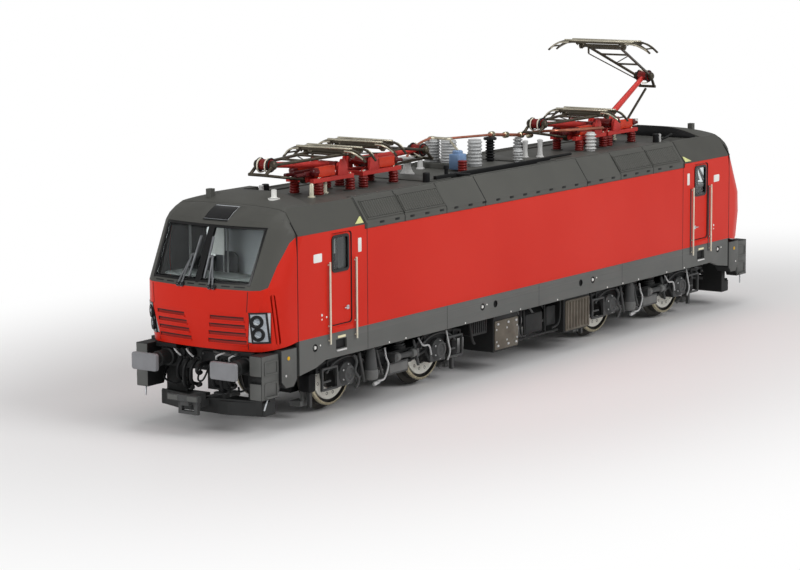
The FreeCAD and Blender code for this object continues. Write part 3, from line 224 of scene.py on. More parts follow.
def turned_piece(profile: Sequence[Sequence[float]], centre: Sequence[float], axis: Axis,
                 steps: int = 28, ring: bool = False) -> Shape:
    """A profile of (distance along the axis, radius) rows carried round the axis: the point at
    angle a has the other two coordinates radius cos a and radius sin a. A ring's last row joins
    its first, so that its middle stays open."""
    rows = np.asarray(profile, float)
    angle = np.linspace(0, 2 * math.pi, steps, endpoint=False)
    grid = np.zeros((len(rows), steps, 3))
    a, b = (axis.value + 1) % 3, (axis.value + 2) % 3
    grid[..., axis.value] = rows[:, :1]
    grid[..., a] = rows[:, 1:] * np.cos(angle)
    grid[..., b] = rows[:, 1:] * np.sin(angle)
    return grid_shape(grid + np.asarray(centre, float), along=ring)


def carried(path: Array, outline: Array, up: Sequence[float] = (0, 0, 1), loop: bool = False,
            scale: Array | None = None) -> Shape:
    """An outline carried along a path: at each station the outline's first axis is the tangent
    crossed with up, and its second is that crossed with the tangent."""
    path = np.asarray(path, float)
    if loop:
        tangent = np.roll(path, -1, axis=0) - np.roll(path, 1, axis=0)
    else:
        tangent = np.gradient(path, axis=0)
    tangent /= np.linalg.norm(tangent, axis=1, keepdims=True)
    side = np.cross(tangent, np.asarray(up, float))
    side /= np.maximum(np.linalg.norm(side, axis=1, keepdims=True), 1e-9)
    top = np.cross(side, tangent)
    size = np.ones(len(path)) if scale is None else np.asarray(scale, float)
    grid = (path[:, None] + size[:, None, None] * (outline[None, :, :1] * side[:, None]
                                                   + outline[None, :, 1:] * top[:, None]))
    return grid_shape(grid, along=loop)


def smooth_path(corners: Sequence[Sequence[float]], steps: int = 8) -> Array:
    """A curve through corners: on each span the weights are the Catmull-Rom cubics."""
    knots = np.asarray(corners, float)
    ext = np.concatenate([2 * knots[:1] - knots[1:2], knots, 2 * knots[-1:] - knots[-2:-1]])
    t = np.linspace(0, 1, steps, endpoint=False)[None, :, None]
    p0, p1, p2, p3 = (ext[i:len(ext) - 3 + i][:, None] for i in range(4))
    curve = 0.5 * (2 * p1 + (p2 - p0) * t + (2 * p0 - 5 * p1 + 4 * p2 - p3) * t ** 2
                   + (3 * p1 - p0 - 3 * p2 + p3) * t ** 3)
    return np.concatenate([curve.reshape(-1, 3), knots[-1:]])


def wire(corners: Sequence[Sequence[float]], radius: float, up: Sequence[float] = (0, 0, 1),
         sides: int = 8, bend: bool = True) -> Shape:
    """A round bar along corners, on a smooth curve or straight from one to the next."""
    path = smooth_path(corners) if bend and len(corners) > 2 else np.asarray(corners, float)
    return carried(path, circle(radius, sides), up)


def bar(a: Sequence[float], b: Sequence[float], radius: float, sides: int = 10) -> Shape:
    """A straight round bar with rounded ends: its radius follows the square root at both tips."""
    a, b = np.asarray(a, float), np.asarray(b, float)
    length = float(np.linalg.norm(b - a))
    tip = min(radius * 0.5, length * 0.2) / length
    share = np.array([0.0, tip * 0.3, tip, 1 - tip, 1 - tip * 0.3, 1.0])
    scale = np.array([0.55, 0.85, 1.0, 1.0, 0.85, 0.55])
    up = (0, 0, 1) if abs(b[2] - a[2]) < 0.8 * length else (1, 0, 0)
    return carried(a + share[:, None] * (b - a), circle(radius, sides), up, scale=scale)


def coil(centre: Sequence[float], radius: float, wire_radius: float, height: float,
         turns: float) -> Shape:
    """A coil spring: a helix about a vertical axis, its height even with its angle."""
    t = np.linspace(0, 1, int(turns * 16) + 1)
    angle = 2 * math.pi * turns * t
    path = np.stack([radius * np.cos(angle), radius * np.sin(angle), height * t], axis=-1)
    return carried(path + np.asarray(centre, float), circle(wire_radius, 6))


def stud(centre: Sequence[float], radius: float, tall: float, axis: Axis, way: float = 1.0,
         steps: int = 8) -> Shape:
    """A domed stud standing on a face."""
    profile = [(0.0, radius), (way * tall * 0.55, radius), (way * tall * 0.9, radius * 0.7),
               (way * tall, radius * 0.25)]
    return turned_piece(profile, centre, axis, steps)


# ------------------------------------------------------------------------------ finishes
def linear(colour: Sequence[int]) -> tuple[float, float, float, float]:
    """A display colour of 0 to 255 as linear light."""
    share = [c / 255 for c in colour]
    level = [s / 12.92 if s <= 0.04045 else ((s + 0.055) / 1.055) ** 2.4 for s in share]
    return (level[0], level[1], level[2], 1.0)


@dataclass(frozen=True)
class Finish:
    """A worked surface: its colour varies softly, its gloss a little, and its grain is a bump.

    Attributes:
        name: the finish in a maker's words.
        colour: its middle colour.
        second: the colour it drifts to, or None for a darker shade of the first.
        drift: share of the second colour at the strongest places.
        patch: size of those places, in millimetres.
        rough: middle roughness, which varies by rough_drift.
        metal: how metallic it is.
        coat: strength of a clear lacquer over it.
        grain: size of the surface grain, in millimetres.
        relief: depth of the grain, in millimetres.
        stretch: how the grain is drawn out along X, Y and Z.
        shine: strength of its plain reflection.
    """

    name: str
    colour: tuple[int, int, int]
    second: tuple[int, int, int] | None = None
    drift: float = 0.35
    patch: float = 9.0
    rough: float = 0.45
    rough_drift: float = 0.08
    metal: float = 0.0
    coat: float = 0.0
    grain: float = 0.22
    relief: float = 0.006
    stretch: tuple[float, float, float] = (1.0, 1.0, 1.0)
    shine: float = 0.22

    def material(self) -> bpy.types.Material:
        """The finish as a node material, made once."""
        made = bpy.data.materials.get(self.name)
        if made:
            return made
        made = bpy.data.materials.new(self.name)
        made.use_nodes = True
        tree = made.node_tree
        shader = tree.nodes["Principled BSDF"]
        shader.inputs["Metallic"].default_value = self.metal
        shader.inputs["Coat Weight"].default_value = self.coat
        shader.inputs["Coat Roughness"].default_value = 0.12
        shader.inputs["Specular IOR Level"].default_value = self.shine
        place = tree.nodes.new("ShaderNodeTexCoord")
        mapping = tree.nodes.new("ShaderNodeMapping")
        mapping.inputs["Scale"].default_value = self.stretch
        tree.links.new(place.outputs["Object"], mapping.inputs["Vector"])
        wide = self.noise(tree, mapping, self.patch, 3.0)
        fine = self.noise(tree, mapping, self.grain, 4.0)
        mix = tree.nodes.new("ShaderNodeMix")
        mix.data_type = "RGBA"
        mix.inputs["A"].default_value = linear(self.colour)
        second = self.second or tuple(int(c * 0.82) for c in self.colour)
        mix.inputs["B"].default_value = linear(second)
        amount = self.remapped(tree, wide, 0.35, 0.75, 0.0, self.drift)
        tree.links.new(amount, mix.inputs["Factor"])
        tree.links.new(mix.outputs["Result"], shader.inputs["Base Color"])
        gloss = self.remapped(tree, wide, 0.3, 0.7, self.rough - self.rough_drift,
                              self.rough + self.rough_drift)
        tree.links.new(gloss, shader.inputs["Roughness"])
        bump = tree.nodes.new("ShaderNodeBump")
        bump.inputs["Distance"].default_value = self.relief * MM
        bump.inputs["Strength"].default_value = 1.0
        tree.links.new(fine, bump.inputs["Height"])
        tree.links.new(bump.outputs["Normal"], shader.inputs["Normal"])
        return made

    @staticmethod
    def noise(tree: bpy.types.NodeTree, mapping: bpy.types.Node, size: float,
              detail: float) -> bpy.types.NodeSocket:
        """A noise whose patches are size millimetres wide."""
        node = tree.nodes.new("ShaderNodeTexNoise")
        node.inputs["Scale"].default_value = 1.0 / (size * MM)
        node.inputs["Detail"].default_value = detail
        tree.links.new(mapping.outputs["Vector"], node.inputs["Vector"])
        return node.outputs["Fac"]

    @staticmethod
    def remapped(tree: bpy.types.NodeTree, source: bpy.types.NodeSocket, low: float, high: float,
                 to_low: float, to_high: float) -> bpy.types.NodeSocket:
        """A value taken from one range to another and held inside it."""
        node = tree.nodes.new("ShaderNodeMapRange")
        for name, value in (("From Min", low), ("From Max", high), ("To Min", to_low),
                            ("To Max", to_high)):
            node.inputs[name].default_value = value
        tree.links.new(source, node.inputs["Value"])
        return node.outputs["Result"]


@dataclass(frozen=True)
class Glazing:
    """Clear moulded glazing with a faint waviness."""

    name: str
    colour: tuple[int, int, int] = (235, 240, 240)
    rough: float = 0.03

    def material(self) -> bpy.types.Material:
        """The glazing as a node material, made once."""
        made = bpy.data.materials.get(self.name)
        if made:
            return made
        made = bpy.data.materials.new(self.name)
        made.use_nodes = True
        tree = made.node_tree
        shader = tree.nodes["Principled BSDF"]
        shader.inputs["Base Color"].default_value = linear(self.colour)
        shader.inputs["Transmission Weight"].default_value = 1.0
        shader.inputs["IOR"].default_value = 1.3
        place = tree.nodes.new("ShaderNodeTexCoord")
        wave = tree.nodes.new("ShaderNodeTexNoise")
        wave.inputs["Scale"].default_value = 1.0 / (4.0 * MM)
        tree.links.new(place.outputs["Object"], wave.inputs["Vector"])
        gloss = Finish.remapped(tree, wave.outputs["Fac"], 0.3, 0.7, self.rough * 0.5, self.rough * 1.6)
        tree.links.new(gloss, shader.inputs["Roughness"])
        bump = tree.nodes.new("ShaderNodeBump")
        bump.inputs["Distance"].default_value = 0.004 * MM
        tree.links.new(wave.outputs["Fac"], bump.inputs["Height"])
        tree.links.new(bump.outputs["Normal"], shader.inputs["Normal"])
        return made


RED = Finish("satin_red_lacquer", (203, 37, 18), (192, 31, 15), 0.6, 30.0, 0.4, 0.05, 0.0, 0.03,
             0.12, 0.0025, shine=0.16)
# A darker copy of the body red for the louvre slats inside their grooves: painted shade in the recess.
LOUVRE_SHADE_RED = Finish("louvre_red_painted_shade", (150, 30, 20), (120, 22, 16), 0.6, 4.0, 0.45, 0.05, 0.0, 0.0,
                  0.12, 0.003)
ROOF = Finish("matt_umber_grey", (84, 84, 80), (74, 75, 72), 0.6, 14.0, 0.52, 0.06, 0.0, 0.0,
              0.15, 0.005)
# The hood grey is the roof grey made darker: painted shade for the front-facing cab hood.
HOOD_SHADE_GREY = Finish("matt_hood_grey_painted_shade", (76, 76, 72), (68, 68, 65), 0.6, 12.0, 0.5, 0.06, 0.0, 0.0, 0.14, 0.004)
DECK = Finish("matt_roof_deck", (74, 74, 71), (64, 64, 61), 0.7, 10.0, 0.5, 0.08, 0.0, 0.0, 0.15, 0.006)
BAND = Finish("matt_band_grey", (96, 97, 95), (86, 88, 86), 0.6, 16.0, 0.5, 0.06, 0.0, 0.0, 0.14, 0.004)
UNDER = Finish("matt_frame_black", (43, 44, 44), (33, 34, 34), 0.8, 5.0, 0.55, 0.08, 0.0, 0.0,
               0.2, 0.01)
DARK = Finish("deep_black", (24, 25, 26), (16, 16, 17), 0.7, 4.0, 0.5, 0.08, 0.0, 0.0, 0.2, 0.008)
SEAL = Finish("black_window_seal", (20, 20, 21), (13, 13, 13), 0.6, 3.0, 0.32, 0.05, 0.0, 0.2,
              0.12, 0.003)
STEP_GREY = Finish("cast_step_grey", (92, 93, 91), (80, 81, 79), 0.6, 4.0, 0.5, 0.07, 0.0, 0.0,
                   0.16, 0.006)
BUFFER = Finish("satin_buffer_grey", (130, 131, 134), (115, 116, 119), 0.6, 3.0, 0.42, 0.05, 0.1, 0.0,
                0.1, 0.003)
SILVER = Finish("silver_lacquer", (205, 209, 212), (180, 184, 188), 0.6, 2.5, 0.3, 0.06, 0.45, 0.0,
                0.09, 0.003)
WHITE = Finish("satin_white", (232, 232, 228), (214, 213, 208), 0.6, 2.0, 0.42, 0.05, 0.0, 0.1,
               0.1, 0.002)
IVORY = Finish("warm_white_print", (232, 226, 190), (220, 212, 170), 0.6, 1.5, 0.5, 0.05, 0.0, 0.0,
               0.1, 0.002)
YELLOW = Finish("yellow_print", (214, 168, 30), (196, 150, 24), 0.6, 1.5, 0.45, 0.05, 0.0, 0.0,
                0.1, 0.002)
CABIN = Finish("cab_moulding_grey", (60, 61, 64), (50, 51, 54), 0.6, 6.0, 0.55, 0.06, 0.0, 0.0,
               0.2, 0.006)
# A pale colour for the screen behind the seats: painted light for the bright view through the far windows.
CAB_PAINTED_LIGHT = Finish("cab_painted_light_wall", (206, 209, 212), (190, 193, 197), 0.6, 8.0, 0.55, 0.06, 0.0, 0.0,
                     0.16, 0.006)
WIPER = Finish("wiper_satin_metal", (112, 114, 117), (84, 86, 89), 0.6, 2.0, 0.32, 0.06, 0.5, 0.0, 0.1, 0.004)
TRAY = Finish("lamp_tray_silver", (172, 179, 185), (142, 149, 156), 0.7, 1.4, 0.28, 0.06, 0.5, 0.1, 0.1,
              0.004)
CABIN_PALE = Finish("cab_wall_pale", (150, 154, 152), (134, 138, 137), 0.6, 8.0, 0.55, 0.06, 0.0, 0.0,
                    0.2, 0.006)
STEEL = Finish("turned_steel", (176, 174, 168), (140, 138, 132), 0.6, 1.6, 0.26, 0.08, 1.0, 0.0,
               0.07, 0.004)
BRASS_RIM = Finish("tyre_edge", (196, 188, 162), (166, 156, 130), 0.6, 1.4, 0.28, 0.06, 1.0, 0.0,
                   0.07, 0.003)
PANTO_RED = Finish("pantograph_red", (160, 27, 16), (124, 19, 12), 0.7, 4.0, 0.4, 0.07, 0.0, 0.08,
                   0.12, 0.004)
POST_RED = Finish("insulator_dark_red", (122, 24, 20), (92, 16, 14), 0.7, 2.0, 0.35, 0.06, 0.0, 0.3,
                  0.1, 0.003)
SPRING_RED = Finish("spring_housing_red", (206, 60, 34), (186, 46, 26), 0.6, 2.0, 0.4, 0.06, 0.0, 0.05,
                    0.1, 0.003)
ARM = Finish("blackened_brass_tube", (84, 78, 66), (52, 47, 40), 0.7, 2.5, 0.36, 0.07, 0.55, 0.0,
             0.08, 0.004)
STRIP = Finish("contact_strip_metal", (206, 200, 180), (168, 162, 142), 0.7, 2.5, 0.3, 0.07, 0.75, 0.0,
               0.08, 0.003, (6.0, 1.0, 6.0))
PALE = Finish("pale_insulator", (206, 206, 204), (184, 184, 184), 0.7, 2.0, 0.36, 0.05, 0.0, 0.25,
              0.1, 0.003)
MID_GREY = Finish("insulator_grey", (146, 148, 148), (122, 124, 126), 0.7, 2.0, 0.4, 0.05, 0.0, 0.2,
                  0.1, 0.004)
COPPER = Finish("copper_bar", (196, 124, 100), (160, 92, 72), 0.7, 3.0, 0.34, 0.06, 0.6, 0.0,
                0.08, 0.003)
BLUE = Finish("blue_grey_moulding", (120, 148, 184), (98, 124, 162), 0.7, 2.0, 0.4, 0.05, 0.0, 0.2,
              0.1, 0.003)
BOX = Finish("brown_grey_box", (104, 98, 88), (84, 78, 70), 0.8, 3.0, 0.5, 0.08, 0.15, 0.0, 0.18, 0.01)
GEAR_GREY = Finish("bogie_casting_grey", (74, 75, 75), (60, 61, 61), 0.7, 3.0, 0.5, 0.08, 0.0, 0.0,
                   0.18, 0.008)
DAMPER = Finish("damper_grey", (104, 105, 104), (88, 89, 88), 0.7, 3.0, 0.45, 0.08, 0.0, 0.0, 0.16, 0.006)
STEEL_DARK = Finish("blackened_wheel", (62, 60, 56), (46, 44, 42), 0.7, 2.0, 0.4, 0.08, 0.5, 0.0,
                    0.1, 0.005)
RING_WHITE = Finish("wheel_ring_white", (228, 227, 218), (206, 204, 192), 0.6, 1.5, 0.4, 0.05, 0.0, 0.1,
                    0.08, 0.003)
DARK_RED = Finish("dark_red_cylinder", (96, 20, 22), (60, 14, 18), 0.8, 3.0, 0.34, 0.06, 0.0, 0.3,
                  0.1, 0.003)
IVORY_METAL = Finish("ivory_post", (224, 220, 200), (200, 194, 170), 0.7, 1.5, 0.34, 0.05, 0.2, 0.1,
                     0.08, 0.003)
CREAM = Finish("cream_rail_white", (224, 219, 200), (206, 200, 178), 0.6, 1.5, 0.42, 0.05, 0.0, 0.0,
               0.08, 0.002)
SPOT = Finish("pale_yellow_green", (212, 214, 150), (196, 200, 132), 0.6, 1.5, 0.5, 0.05, 0.0, 0.0,
              0.08, 0.002)
GLASS = Glazing("clear_glazing")
LENS = Glazing("lamp_lens", (245, 248, 250), 0.05)
Dress = Finish | Glazing


# ------------------------------------------------------------------------------ making pieces
def emit(name: str, shape: Shape, finish: Dress, body: str = ROOT, replaces: Sequence[str] = (),
         sharp: float = 38.0) -> bpy.types.Object:
    """Make a piece from a shape.

    Args:
        name: the piece's name.
        shape: its surface, in millimetres over the rail top.
        finish: what it is dressed in.
        body: the moving body that carries it.
        replaces: frame nodes that it stands for.
        sharp: edges that turn by more degrees than this stay sharp.

    Returns:
        The new object, at the origin and in metres over the floor.
    """
    mesh = bpy.data.meshes.new(name)
    points = shape.points * MM
    points[:, 2] += RAIL * MM
    faces = [face for patch in shape.patches for face in patch.tolist()]
    mesh.from_pydata(points, [], faces)
    work = bmesh.new()
    work.from_mesh(mesh)
    bmesh.ops.remove_doubles(work, verts=work.verts, dist=1e-6)
    bmesh.ops.dissolve_degenerate(work, dist=1e-7, edges=work.edges)
    bmesh.ops.recalc_face_normals(work, faces=work.faces)
    work.to_mesh(mesh)
    work.free()
    return settle(name, mesh, finish, body, replaces, sharp)


def settle(name: str, mesh: bpy.types.Mesh, finish: Dress, body: str, replaces: Sequence[str],
           sharp: float) -> bpy.types.Object:
    """Give a mesh its shading, finish and carrier, and report it."""
    mesh.polygons.foreach_set("use_smooth", np.ones(len(mesh.polygons), bool))
    mesh.set_sharp_from_angle(angle=math.radians(sharp))
    mesh.materials.clear()
    mesh.materials.append(finish.material())
    piece = bpy.data.objects.new(name, mesh)
    bpy.context.scene.collection.objects.link(piece)
    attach(piece, body)
    if replaces:
        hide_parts(*replaces)
    log.info("%s: %d faces in %s on %s", name, len(mesh.polygons), finish.name, body)
    return piece


def refined(node: str, finish: Dress, edge: float = 0.12, sharp: float = 34.0,
            body: str = ROOT) -> bpy.types.Object:
    """A frame node's own form with broken edges and smooth shading, standing for the node.

    Args:
        node: the frame node.
        finish: what the new piece is dressed in.
        edge: width of the broken edges, in millimetres.
        sharp: edges that turn by more degrees than this are broken.
        body: the body that carries it.

    Returns:
        The new object.
    """
    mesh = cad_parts[node].data.copy()
    mesh.name = f"{node}_skin"
    work = bmesh.new()
    work.from_mesh(mesh)
    bmesh.ops.remove_doubles(work, verts=work.verts, dist=2e-6)
    bmesh.ops.dissolve_limit(work, angle_limit=math.radians(0.6), verts=work.verts, edges=work.edges)
    work.to_mesh(mesh)
    work.free()
    piece = settle(f"{node}_skin", mesh, finish, body, (node,), sharp)
    if edge > 0:
        bevel = piece.modifiers.new("broken_edges", "BEVEL")
        bevel.width = edge * MM
        bevel.segments = 2
        bevel.limit_method = "ANGLE"
        bevel.angle_limit = math.radians(sharp)
        bevel.harden_normals = True
    return piece


def lined(piece: bpy.types.Object, finish: Finish, limit: float = -0.3) -> None:
    """Give the faces that look inwards a second finish: those where the normal, along the way from
    the nearest spot of the body's middle line, is under the limit."""
    mesh = piece.data
    mesh.materials.append(finish.material())
    count = len(mesh.polygons)
    centres, normals = np.zeros(count * 3), np.zeros(count * 3)
    mesh.polygons.foreach_get("center", centres)
    mesh.polygons.foreach_get("normal", normals)
    centres = centres.reshape(-1, 3) / MM
    flat = 0 * centres[:, 0]
    middle = np.stack([np.clip(centres[:, 0], -LINE_END, LINE_END), flat, flat + LINE_HEIGHT], axis=-1)
    outwards = centres - middle
    outwards /= np.maximum(np.linalg.norm(outwards, axis=1, keepdims=True), 1e-9)
    inner = np.sum(outwards * normals.reshape(-1, 3), axis=1) < limit
    mesh.polygons.foreach_set("material_index", inner.astype(np.int32))


def dress(node: str, finish: Dress) -> None:
    """Give a frame node whose form stays a better finish."""
    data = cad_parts[node].data
    data.materials.clear()
    data.materials.append(finish.material())


# ------------------------------------------------------------------------------ body form
@dataclass(frozen=True)
class BodyForm:
    """The body's outer form, so that trim can be laid on it."""

    half_width: float = 17.2
    nose_corner: float = 102.6
    nose_bow: float = 1.4
    corner_half: float = 12.6
    belt: float = 28.7
    dome_x: float = 78.0
    dome_z: float = 38.0
    dome_length: float = 19.85
    dome_height: float = 8.6
    first_angle: float = 17.0
    slope_low: tuple[float, float] = (17.2, 39.1)
    slope_high: tuple[float, float] = (13.8, 44.2)

    def corner_x(self, level: Array) -> Array:
        """X of the nose corner: even up to the belt, on a straight rake up to the dome, and on the
        dome the ellipse's length times the cosine of the angle whose sine is the rise."""
        level = np.asarray(level, float)
        angle = math.radians(self.first_angle)
        top_z = self.dome_z + self.dome_height * math.sin(angle)
        top_x = self.dome_x + self.dome_length * math.cos(angle)
        foot = self.nose_corner - 1.4 * np.clip((24.0 - level) / 8.0, 0, 1)
        rake = self.nose_corner + (top_x - self.nose_corner) * (level - self.belt) / (top_z - self.belt)
        rise = np.clip((level - self.dome_z) / self.dome_height, 0, 0.999)
        dome = self.dome_x + self.dome_length * np.cos(np.arcsin(rise))
        return np.where(level <= self.belt, foot, np.where(level <= top_z, rake, dome))

    def nose(self, y: Array, level: Array, stand: float = 0.0) -> Array:
        """Points on the bowed front: the corner's X plus the bow times one less the square of the
        share of the half width, and a distance off the surface."""
        y, level = np.broadcast_arrays(np.asarray(y, float), np.asarray(level, float))
        x = self.corner_x(level) + self.nose_bow * (1 - (y / self.corner_half) ** 2) + stand
        return np.stack([x, y, level], axis=-1)

    def corner(self, share: Array, level: Array, stand: float = 0.0) -> Array:
        """Points round the left nose corner: an arc through the front edge, the bulge and the side,
        at an even share of its angle, moved off the surface along the arc's radius."""
        front = self.corner_x(np.asarray(level, float))
        a = np.array([0.0, self.corner_half])
        b = np.array([-2.6, self.corner_half + 2.95])
        c = np.array([-8.2, self.half_width])
        d = 2 * (a[0] * (b[1] - c[1]) + b[0] * (c[1] - a[1]) + c[0] * (a[1] - b[1]))
        ux = ((a @ a) * (b[1] - c[1]) + (b @ b) * (c[1] - a[1]) + (c @ c) * (a[1] - b[1])) / d
        uy = ((a @ a) * (c[0] - b[0]) + (b @ b) * (a[0] - c[0]) + (c @ c) * (b[0] - a[0])) / d
        radius = math.hypot(a[0] - ux, a[1] - uy)
        start = math.atan2(a[1] - uy, a[0] - ux)
        end = math.atan2(c[1] - uy, c[0] - ux)
        angle = start + (end - start) * np.asarray(share, float)
        x = front + ux + (radius + stand) * np.cos(angle)
        y = uy + (radius + stand) * np.sin(angle)
        return np.stack(np.broadcast_arrays(x, y, np.asarray(level, float)), axis=-1)

    def slope(self, x: Array, share: Array, stand: Array | float = 0.0) -> Array:
        """Points on the left roof slope: a share of the way up it, and a distance off it."""
        run = np.array([self.slope_high[0] - self.slope_low[0], self.slope_high[1] - self.slope_low[1]])
        normal = np.array([run[1], -run[0]]) / np.linalg.norm(run)
        x, share, stand = np.broadcast_arrays(np.asarray(x, float), np.asarray(share, float),
                                              np.asarray(stand, float))
        y = self.slope_low[0] + run[0] * share + normal[0] * stand
        z = self.slope_low[1] + run[1] * share + normal[1] * stand
        return np.stack([x, y, z], axis=-1)


FORM = BodyForm()


def skin(surface: Callable[[Array, Array, float], Array], u: Sequence[float], v: Sequence[float],
         low: float, high: float, steps: tuple[int, int] = (8, 2)) -> Shape:
    """A thin plate laid on a surface: both faces are the surface moved off by low and by high on
    an even grid of u and v, and a rim joins them.

    Args:
        surface: gives points from u, v and a stand-off.
        u: first and last u.
        v: first and last v.
        low: stand-off of the back face.
        high: stand-off of the front face.
        steps: cells along u and v.

    Returns:
        A closed plate.
    """
    us, vs = np.linspace(*u, steps[0] + 1), np.linspace(*v, steps[1] + 1)
    us2, vs2 = np.meshgrid(us, vs, indexing="ij")
    rows = [np.concatenate([surface(us2, vs2, high), surface(us2, vs2, low)[:, ::-1]], axis=1)]
    return grid_shape(rows[0])


# ------------------------------------------------------------------------------ the body
@dataclass
class Superstructure:
    """The red and grey body: its shells, doors, plates, seams, lamps and glazing."""

    window: tuple[float, float, float, float] = (74.6, 80.0, 30.2, 37.3)
    plates: tuple[tuple[float, float, float, float], ...] = ((84.0, 86.9, 32.7, 34.5),
                                                             (70.1, 71.3, 33.2, 36.2))
    lamp_low: float = 17.95
    lamp_high: float = 24.05
    lamp_shares: tuple[float, float] = (0.0, 0.36)
    lens_share: float = 0.135
    lens_levels: tuple[float, ...] = (19.65, 22.3)
    rail_places: tuple[float, ...] = (81.9, 72.6)
    louvres: tuple[tuple[float, float], ...] = ((17.45, 2.2), (19.1, 2.55), (20.75, 2.95), (22.4, 3.35))
    louvre_outer: float = 11.3

    def build(self) -> None:
        """Make the whole superstructure."""
        for end in ("front", "rear"):
            lined(refined(f"{end}_nose_panel", RED, 0.1), CABIN)
            # The cab hood takes the darker grey: painted shade.
            lined(refined(f"{end}_cab_hood", HOOD_SHADE_GREY, 0.12), CABIN)
            refined(f"{end}_windscreen_frame", SEAL, 0.06)
            refined(f"{end}_cab_interior", CABIN, 0.12)
        for side in ("left", "right"):
            lined(refined(f"{side}_body_side", RED, 0.08), CABIN, 0.2)
        lined(refined("cab_doors", RED, 0.08), CABIN, 0.2)
        refined("door_handrails", CREAM, 0.0)
        refined("windscreen_wipers", WIPER, 0.0)
        dress("cab_windows", GLASS)
        refined("head_lamps", SILVER, 0.06)
        self.doors()
        self.nose_trim()
        self.lamps()
        self.cab()

    def doors(self) -> None:
        """Window seals, handles, rail grooves and blank plates by the doors."""
        x0, x1, z0, z1 = self.window
        seal = frame_ring(rounded((x0 - 0.35, z0 - 0.35), (x1 + 0.35, z1 + 0.35), 1.0, 5), 0.6,
                          16.7, 17.14, Plane.SIDE)
        emit("door_window_seals", all_four(seal), SEAL)
        handle = joined([slab(rounded((74.3, 21.6), (75.2, 22.5), 0.2, 3), 16.9, 17.05, Plane.SIDE, 0.04),
                         bar((74.7, 17.2, 22.05), (76.1, 17.2, 22.05), 0.13)])
        emit("door_handles", all_four(handle), SILVER)
        grooves = [slab(rounded((x - 0.85, 15.3), (x - 0.25, 32.2), 0.2, 3), 17.18, 17.23, Plane.SIDE, 0.02)
                   for x in self.rail_places]
        emit("handrail_grooves", all_four(joined(grooves)), SEAL)
        blank = [slab(rounded((a, c), (b, d), 0.25, 3), 17.15, 17.26, Plane.SIDE, 0.04)
                 for a, b, c, d in self.plates]
        emit("blank_side_plates", all_four(joined(blank)), WHITE)
        sill = slab(rounded((73.6, 17.45), (80.9, 18.55), 0.15, 3), 17.15, 17.42, Plane.SIDE, 0.08)
        emit("door_sills", all_four(sill), RED)
        dots = joined([stud((84.2, 17.18, 21.6), 0.28, 0.12, Axis.Y),
                       stud((84.2, 17.18, 20.7), 0.2, 0.1, Axis.Y),
                       stud((82.6, 17.18, 21.0), 0.22, 0.12, Axis.Y)])
        emit("door_push_buttons", all_four(dots), WHITE)
        blinds, bands = [], []
        for way in SIDES:
            front = 79.7 if way > 0 else -75.0
            blinds.append(brick((front - 2.3, 15.3, 33.6), (front, 15.6, 37.6), 0.05))
            bands.append(brick((front - 3.2, 15.2, 29.8), (front - 2.3, 15.6, 37.6), 0.05))
            blinds.append(brick((front - 5.0, 13.4, 29.9), (front - 3.0, 13.7, 37.6), 0.05))
        emit("door_window_blinds", both_sides(joined(blinds)), CABIN_PALE)
        emit("door_window_bands", both_sides(joined(bands)), SEAL)
        seams = [brick((x - 0.08, 17.0, 17.4), (x + 0.08, 17.22, 39.0), 0.02) for x in (68.0, 92.3)]
        emit("side_seams", all_four(joined(seams)), DARK)

    def nose_trim(self) -> None:
        """Seams, the strip under the windscreen, louvre slats in a darker red as painted shade under painted
        shadows, and the roof lamp's frame.
        """
        seams = [skin(lambda u, v, s: FORM.nose(u + 0.07 * (v - 28.0), v, s), (12.28, 12.42), span, -0.2,
                      0.02,
                      (1, 4)) for span in ((24.3, 28.5), (16.3, 17.7))]
        emit("nose_seams", all_four(joined(seams)), DARK)
        shadow, slats, lips = [], [], []
        for level, inner in self.louvres:
            span = (inner + 0.05, self.louvre_outer - 0.05)
            # The slats in the groove take the darker red: painted shade.
            slats.append(skin(lambda u, v, s: FORM.nose(u, v, s + 0.3 * (level + 0.8 - v)), span,
                              (level + 0.02, level + 0.6), -0.62, -0.34, (8, 1)))
            shadow.append(skin(FORM.nose, span, (level + 0.56, level + 0.8),
                               -0.5, -0.02, (8, 1)))
            lips.append(skin(FORM.nose, (inner - 0.1, self.louvre_outer + 0.1),
                             (level - 0.26, level + 0.02), -0.1, 0.2, (8, 1)))
        emit("louvre_shadows", all_four(joined(shadow)), DARK)
        emit("louvre_slats", all_four(joined(slats)), LOUVRE_SHADE_RED)
        emit("louvre_lips", all_four(joined(lips)), RED)
        slots = [skin(FORM.nose, (a, b), (29.15, 29.4), -0.2, 0.03, (6, 1))
                 for a, b in ((0.6, 2.4), (6.2, 8.2), (9.2, 11.6))]
        cowl = skin(FORM.nose, (0.4, 12.0), (28.85, 29.7), -0.2, 0.012, (10, 1))
        # The strip under the windscreen takes the darker hood grey: painted shade.
        emit("scuttle_strip", all_four(cowl), HOOD_SHADE_GREY)
        pads = [turned_piece([(0, 0.55), (0.5, 0.55), (0.75, 0.35), (0.8, 0.1)],
                             FORM.nose(y, 29.0, -0.1), Axis.X, 14) for y in (3.6, 4.6)]
        emit("scuttle_slots", all_four(joined(slots)), DARK)
        emit("wiper_pivots", all_four(joined(pads)), DARK)
        surround = skin(FORM.nose, (-3.2, 3.2), (41.62, 41.8), -0.15, 0.1, (6, 1))
        emit("roof_lamp_frame", both_ends(surround), DARK)
        face = skin(FORM.nose, (-3.0, 3.0), (41.95, 44.1), -0.3, 0.06, (6, 4))
        emit("roof_lamp_glass", both_ends(face), SEAL)

    def lamps(self) -> None:
        """Corner lamp clusters: a black border, a silver tray and two lamps one over the other."""
        border, bezels, lenses, bowls = [], [], [], []
        first, last = self.lamp_shares
        low, high = self.lamp_low, self.lamp_high

